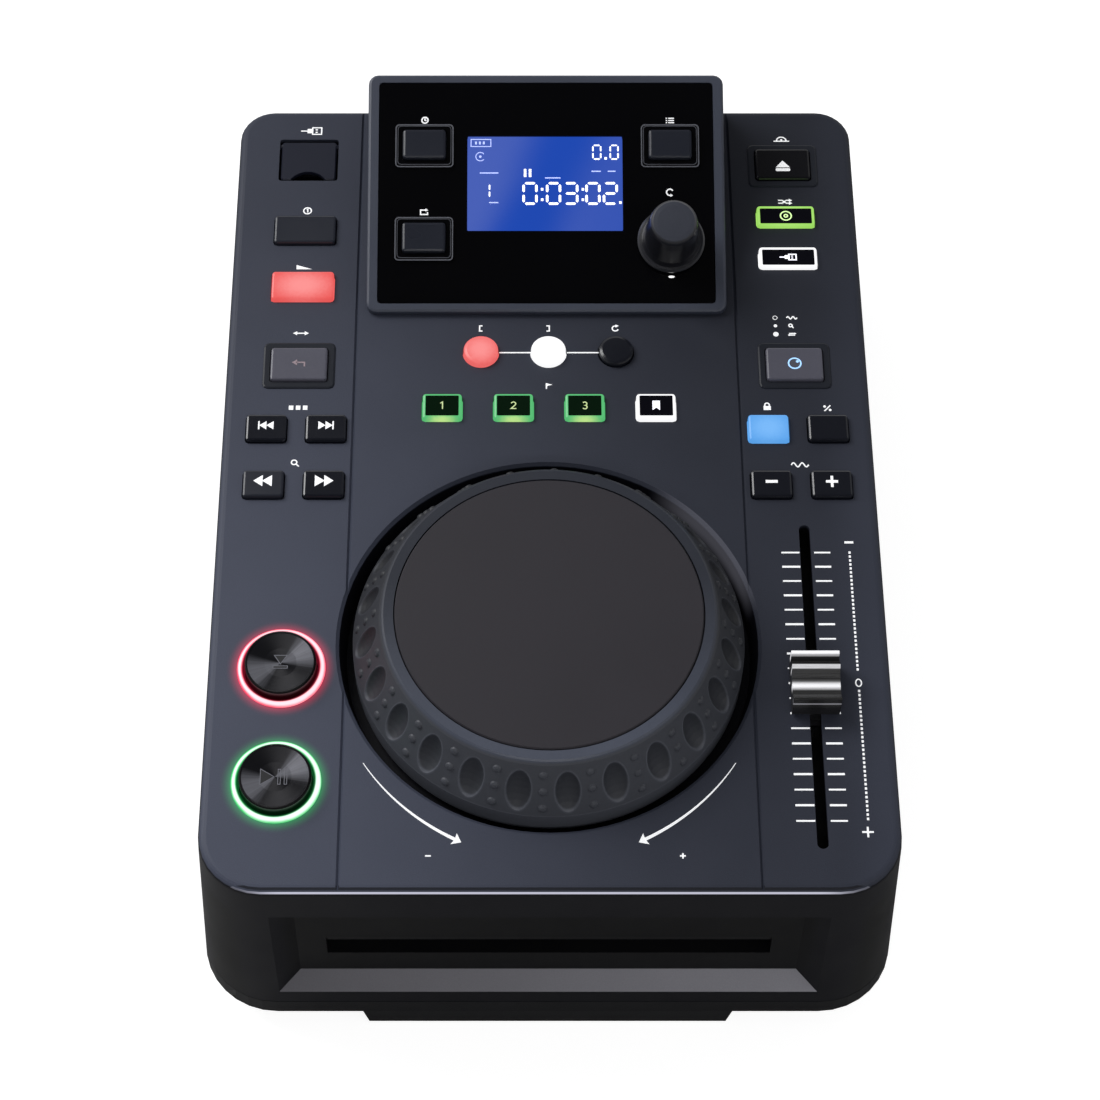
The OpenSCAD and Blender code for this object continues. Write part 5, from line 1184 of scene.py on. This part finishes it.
class DISCPLAYER_OT_prints(Dressing, bpy.types.Operator):
    """Prints the deck's and the display panel's marks, the fader's ticks and the scale"""
    bl_idname = "discplayer.prints"
    bl_label = "Prints"

    DECK_MARKS = (
        ("plug", -83.6, 297.5, 1.15), ("one", -83.9, 261.6, 0.9), ("ramp", -84.1, 236.9, 0.9),
        ("two_way", -84.2, 208.9, 0.85), ("tracks", -84.0, 178.2, 0.85), ("glass", -84.2, 156.0, 0.95),
        ("slot_disc", 84.5, 293.6, 1.0), ("fork", 84.4, 265.6, 0.9), ("wave", 84.4, 215.4, 0.55),
        ("glass", 84.0, 212.0, 0.6), ("both_ways", 84.2, 208.5, 0.6), ("lock", 74.3, 178.6, 0.95),
        ("percent", 94.6, 178.0, 0.95), ("wave", 84.2, 155.3, 0.9), ("left_bracket", -22.5, 210.9, 0.9),
        ("right_bracket", 0.5, 210.9, 0.9), ("again", 23.6, 210.9, 0.95), ("flag", 0.7, 187.0, 0.95),
        ("minus", -37.6, 12.3, 0.9), ("plus", 40.9, 12.3, 0.9), ("minus", 98.7, 125.1, 1.45),
        ("thin_plus", 98.4, 20.4, 1.8))
    POD_MARKS = (("clock", -42.2, 69.9, 0.8), ("loop", -42.3, 36.1, 0.8), ("list", 43.2, 69.8, 0.8),
                 ("turn", 42.9, 43.4, 0.85))
    LEGEND_X = 78.65
    SCALE_X = 98.7
    # The wheel's axis behind the deck's front edge, and the sweep of the two arrows round it
    AXIS = 88.0
    SWEEP, SWEEP_STEPS = (216.8, 247.3), 26

    def execute(self, context):
        tones, sizes = self.settings(context)
        white = ink("white_ink", tones.prints, 0.34)
        deck, panel = (Plates(plane, -0.05, sizes.ink / MM) for plane in (DECK, POD))
        for plates, marks in ((deck, self.DECK_MARKS), (panel, self.POD_MARKS)):
            for mark, x, y, scale in marks:
                plates.draw(mark, x, y, sizes.stroke / MM, scale)
        # Join between the three loop keys
        for x in (-16.2, 6.9):
            deck.fill(box_points(x, x + 10.8, 200.55, 201.05))
        # Legend marks of the jog modes
        deck.line(ring_points(0.75, 18, self.LEGEND_X, 215.4), 0.22, True)
        deck.fill(ring_points(0.62, 16, self.LEGEND_X, 212.0))
        deck.fill(ring_points(0.95, 18, self.LEGEND_X, 208.5))
        self.fader_scale(deck, sizes.tick / MM, sizes.key_ticks)
        for side in (-1, 1):
            self.sweep_arrow(deck, side)
        deck.make("deck_prints", white, HOUSING)
        panel.make("panel_prints", white, HOUSING)
        self.panel_frames(sizes.grain)
        # Painted highlight: a small white glint in front of the select knob
        spot = Plates(POD, -0.05, 0.12)
        spot.fill(ring_points(1.05, 18, 43.1, 12.7, high=0.42))
        spot.make("knob_painted_glint", ink("painted_glint_ink", WHITE, 0.8), HOUSING)
        return {"FINISHED"}

    def panel_frames(self, grain):
        """Two pale lines round the panel keys, painted highlights on the edges of their raised frames."""
        # Each line: its names, tone and top, how much wider, longer and lower than the key it is, and its width
        for name, plastic, tone, top, wider, longer, lower, line in (
                ("panel_key_rim_highlights", "rim_highlight_plastic", "5c5e66", 0.8, 2.4, 2.25, 0.17, 0.42),
                ("panel_key_gap_highlights", "gap_highlight_plastic", "4a4c54", 0.78, 1.05, 0.95, 0.0, 0.24)):
            plates = Plates(POD, 0.6, top)
            for key in PANEL_KEYS:
                flat = [POD.inverted() @ v.co for v in NODES[key].data.vertices]
                left, right = (pick(p.x for p in flat) for pick in (min, max))
                near, far = (pick(p.y for p in flat) for pick in (min, max))
                middle = (left + right) / 2, (near + far) / 2 - lower
                plates.line(round_box(right - left + wider, far - near + longer, 1.2, 4, *middle), line, True)
            plates.make(name, moulded(plastic, srgb(tone), 0.4, grain, 0.3, 1e-5), HOUSING)

    def fader_scale(self, plates, tick, count):
        """Ticks on both sides of the fader, and a dashed scale with an oval at its middle."""
        top, bottom = 121.2, 24.2
        for i in range(count):
            y = top + (bottom - top) * i / (count - 1)
            half = (tick if i % 2 else tick * 0.8) / 2
            for left, right in ((76.4, 82.3), (87.1, 92.4)):
                plates.fill(box_points(left, right, y - half, y + half))
        step = 1.5
        for start, stop in ((121.6, 76.0), (70.3, 23.6)):
            for i in range(int((start - stop) / step)):
                y = start - step * i
                plates.fill(box_points(self.SCALE_X - 0.35, self.SCALE_X + 0.35, y - 0.85, y))
        plates.line(ring_points(0.9, 24, self.SCALE_X, 72.8, high=1.3), 0.42, True)

    def sweep_arrow(self, plates, side):
        """A line that follows the wheel and thickens towards its arrow head."""
        first, last = self.SWEEP
        points, widths = [], []
        for i in range(self.SWEEP_STEPS + 1):
            t = i / self.SWEEP_STEPS
            points.append(on_circle(first + (last - first) * t, 73.0 + 3.0 * t))
            widths.append(0.22 + 0.85 * t)
        points.append(on_circle(248.9, 76.2))
        *points, tip = [(side * x, self.AXIS + y) for x, y in points]
        plates.line(points, widths)
        tip, base = Vector(tip), Vector(points[-1])
        along = (tip - base).normalized()
        across = Vector((-along.y, along.x)) * 2.1
        back = base - along * 0.5
        plates.fill([tuple(p) for p in (tip, back + across, base - along * 0.1, back - across)])


class DISCPLAYER_OT_stage(Dressing, bpy.types.Operator):
    """Makes the floor, the studio lamps, the pale surroundings and the camera"""
    bl_idname = "discplayer.stage"
    bl_label = "Studio"

    # Each lamp: name, place, where it points, width, length and power
    LAMPS = (("rear_left_box", (-0.85, 0.55, 1.0), (0.0, 0.0, 0.05), 0.8, 0.8, 12.4),
             ("front_right_box", (1.1, -0.7, 1.0), (0.0, 0.0, 0.05), 0.8, 0.8, 2.2),
             ("front_strip", (0.0, -1.05, 1.2), (0.0, -0.15, 0.09), 1.1, 0.07, 4.2))
    FLOOR_REACH = 4.0
    # How far the camera leans forward from looking straight down, in degrees
    CAMERA_LEAN = 31.0

    def execute(self, context):
        _, sizes = self.settings(context)
        for name, spot, target, wide, long, power in self.LAMPS:
            lamp = bpy.data.lights.new(name, "AREA")
            lamp.shape = "RECTANGLE"
            lamp.size, lamp.size_y = wide, long
            lamp.energy = power * sizes.lamp_level
            holder = self.hold(context, name, lamp, spot)
            holder.rotation_mode = "QUATERNION"
            holder.rotation_quaternion = (Vector(target) - Vector(spot)).to_track_quat("-Z", "Y")
        self.floor(context)
        self.surroundings(context)
        camera = bpy.data.cameras.new("camera")
        camera.sensor_width = 36.0
        camera.lens = 94.61
        camera.shift_x = 0.0318
        holder = self.hold(context, "camera", camera, (-0.0108, -0.5189, 0.9065))
        holder.rotation_euler = (math.radians(self.CAMERA_LEAN), 0.0, 0.0)
        context.scene.camera = holder
        context.scene.view_settings.view_transform = "Standard"
        return {"FINISHED"}

    def hold(self, context, name, data, spot):
        holder = bpy.data.objects.new(name, data)
        holder.location = spot
        context.scene.collection.objects.link(holder)
        return holder

    def seen_directly(self, tree):
        path = tree.nodes.new("ShaderNodeLightPath").outputs
        return compute("ADD", Field(path["Is Camera Ray"]), Field(path["Is Transmission Ray"]), clamp=True)

    def floor(self, context):
        mesh = bpy.data.meshes.new("floor")
        reach = self.FLOOR_REACH
        mesh.from_pydata([(*p, 0.0) for p in box_points(-reach, reach, -reach, reach)], [], [(0, 1, 2, 3)])
        floor = self.hold(context, "floor", mesh, (0.0, 0.0, 0.0))
        finish = Finish("pale_floor", Base_Color=(0.42, 0.42, 0.42), Roughness=0.9, Emission_Color=WHITE,
                        Specular_IOR_Level=0.0)
        finish.set(Emission_Strength=self.seen_directly(finish.tree) * 0.86)
        mesh.materials.append(finish.material)

    def surroundings(self, context):
        """A white room as the camera sees it, and a plainer, uneven one for light and for mirrors."""
        world = bpy.data.worlds.new("pale_room")
        context.scene.world = world
        world.use_nodes = True
        tree = world.node_tree
        tree.nodes.clear()
        out = tree.nodes.new("ShaderNodeOutputWorld")
        ground = tree.nodes.new("ShaderNodeBackground")
        tree.links.new(ground.outputs[0], out.inputs[0])
        put(ground.inputs["Color"], WHITE)
        _, rear, up = Field(tree.nodes.new("ShaderNodeTexCoord").outputs["Generated"]).split()
        # The room is brighter behind the player than in front of it, and dark overhead in mirrors
        ambient = rear.smooth(-0.7, 0.7, 0.1, 0.5)
        mirrored = up.smooth(0.2, 0.8, 0.7, 0.05) * rear.smooth(-0.7, 0.7, 0.35, 1.0)
        glossy = Field(tree.nodes.new("ShaderNodeLightPath").outputs["Is Glossy Ray"])
        unseen = glossy * mirrored + (1.0 - glossy) * ambient
        seen = self.seen_directly(tree)
        put(ground.inputs["Strength"], seen + (1.0 - seen) * unseen)


PIECES = (DISCPLAYER_OT_skins, DISCPLAYER_OT_shells, DISCPLAYER_OT_display, DISCPLAYER_OT_lit_keys,
          DISCPLAYER_OT_dark_keys, DISCPLAYER_OT_round_keys, DISCPLAYER_OT_jog, DISCPLAYER_OT_fader,
          DISCPLAYER_OT_knob, DISCPLAYER_OT_inside, DISCPLAYER_OT_prints, DISCPLAYER_OT_stage)


class DISCPLAYER_PT_panel(bpy.types.Panel):
    """Lists the disc player's settings and its operators"""
    bl_idname = "DISCPLAYER_PT_panel"
    bl_label = "Disc player"
    bl_space_type = "VIEW_3D"
    bl_region_type = "UI"
    bl_category = "Disc player"

    def draw(self, context):
        for settings in (context.scene.disc_player_colours, context.scene.disc_player_sizes):
            box = self.layout.box()
            for name in settings.__annotations__:
                box.prop(settings, name)
        for piece in PIECES:
            self.layout.operator(piece.bl_idname)


CLASSES = (DiscPlayerColours, DiscPlayerSizes, *PIECES, DISCPLAYER_PT_panel)


def register():
    for cls in CLASSES:
        bpy.utils.register_class(cls)
    bpy.types.Scene.disc_player_colours = PointerProperty(type=DiscPlayerColours)
    bpy.types.Scene.disc_player_sizes = PointerProperty(type=DiscPlayerSizes)


def unregister():
    del bpy.types.Scene.disc_player_sizes
    del bpy.types.Scene.disc_player_colours
    for cls in reversed(CLASSES):
        bpy.utils.unregister_class(cls)


def main():
    register()
    for piece in PIECES:
        group, name = piece.bl_idname.split(".")
        getattr(getattr(bpy.ops, group), name)()


if __name__ == "__main__":
    main()
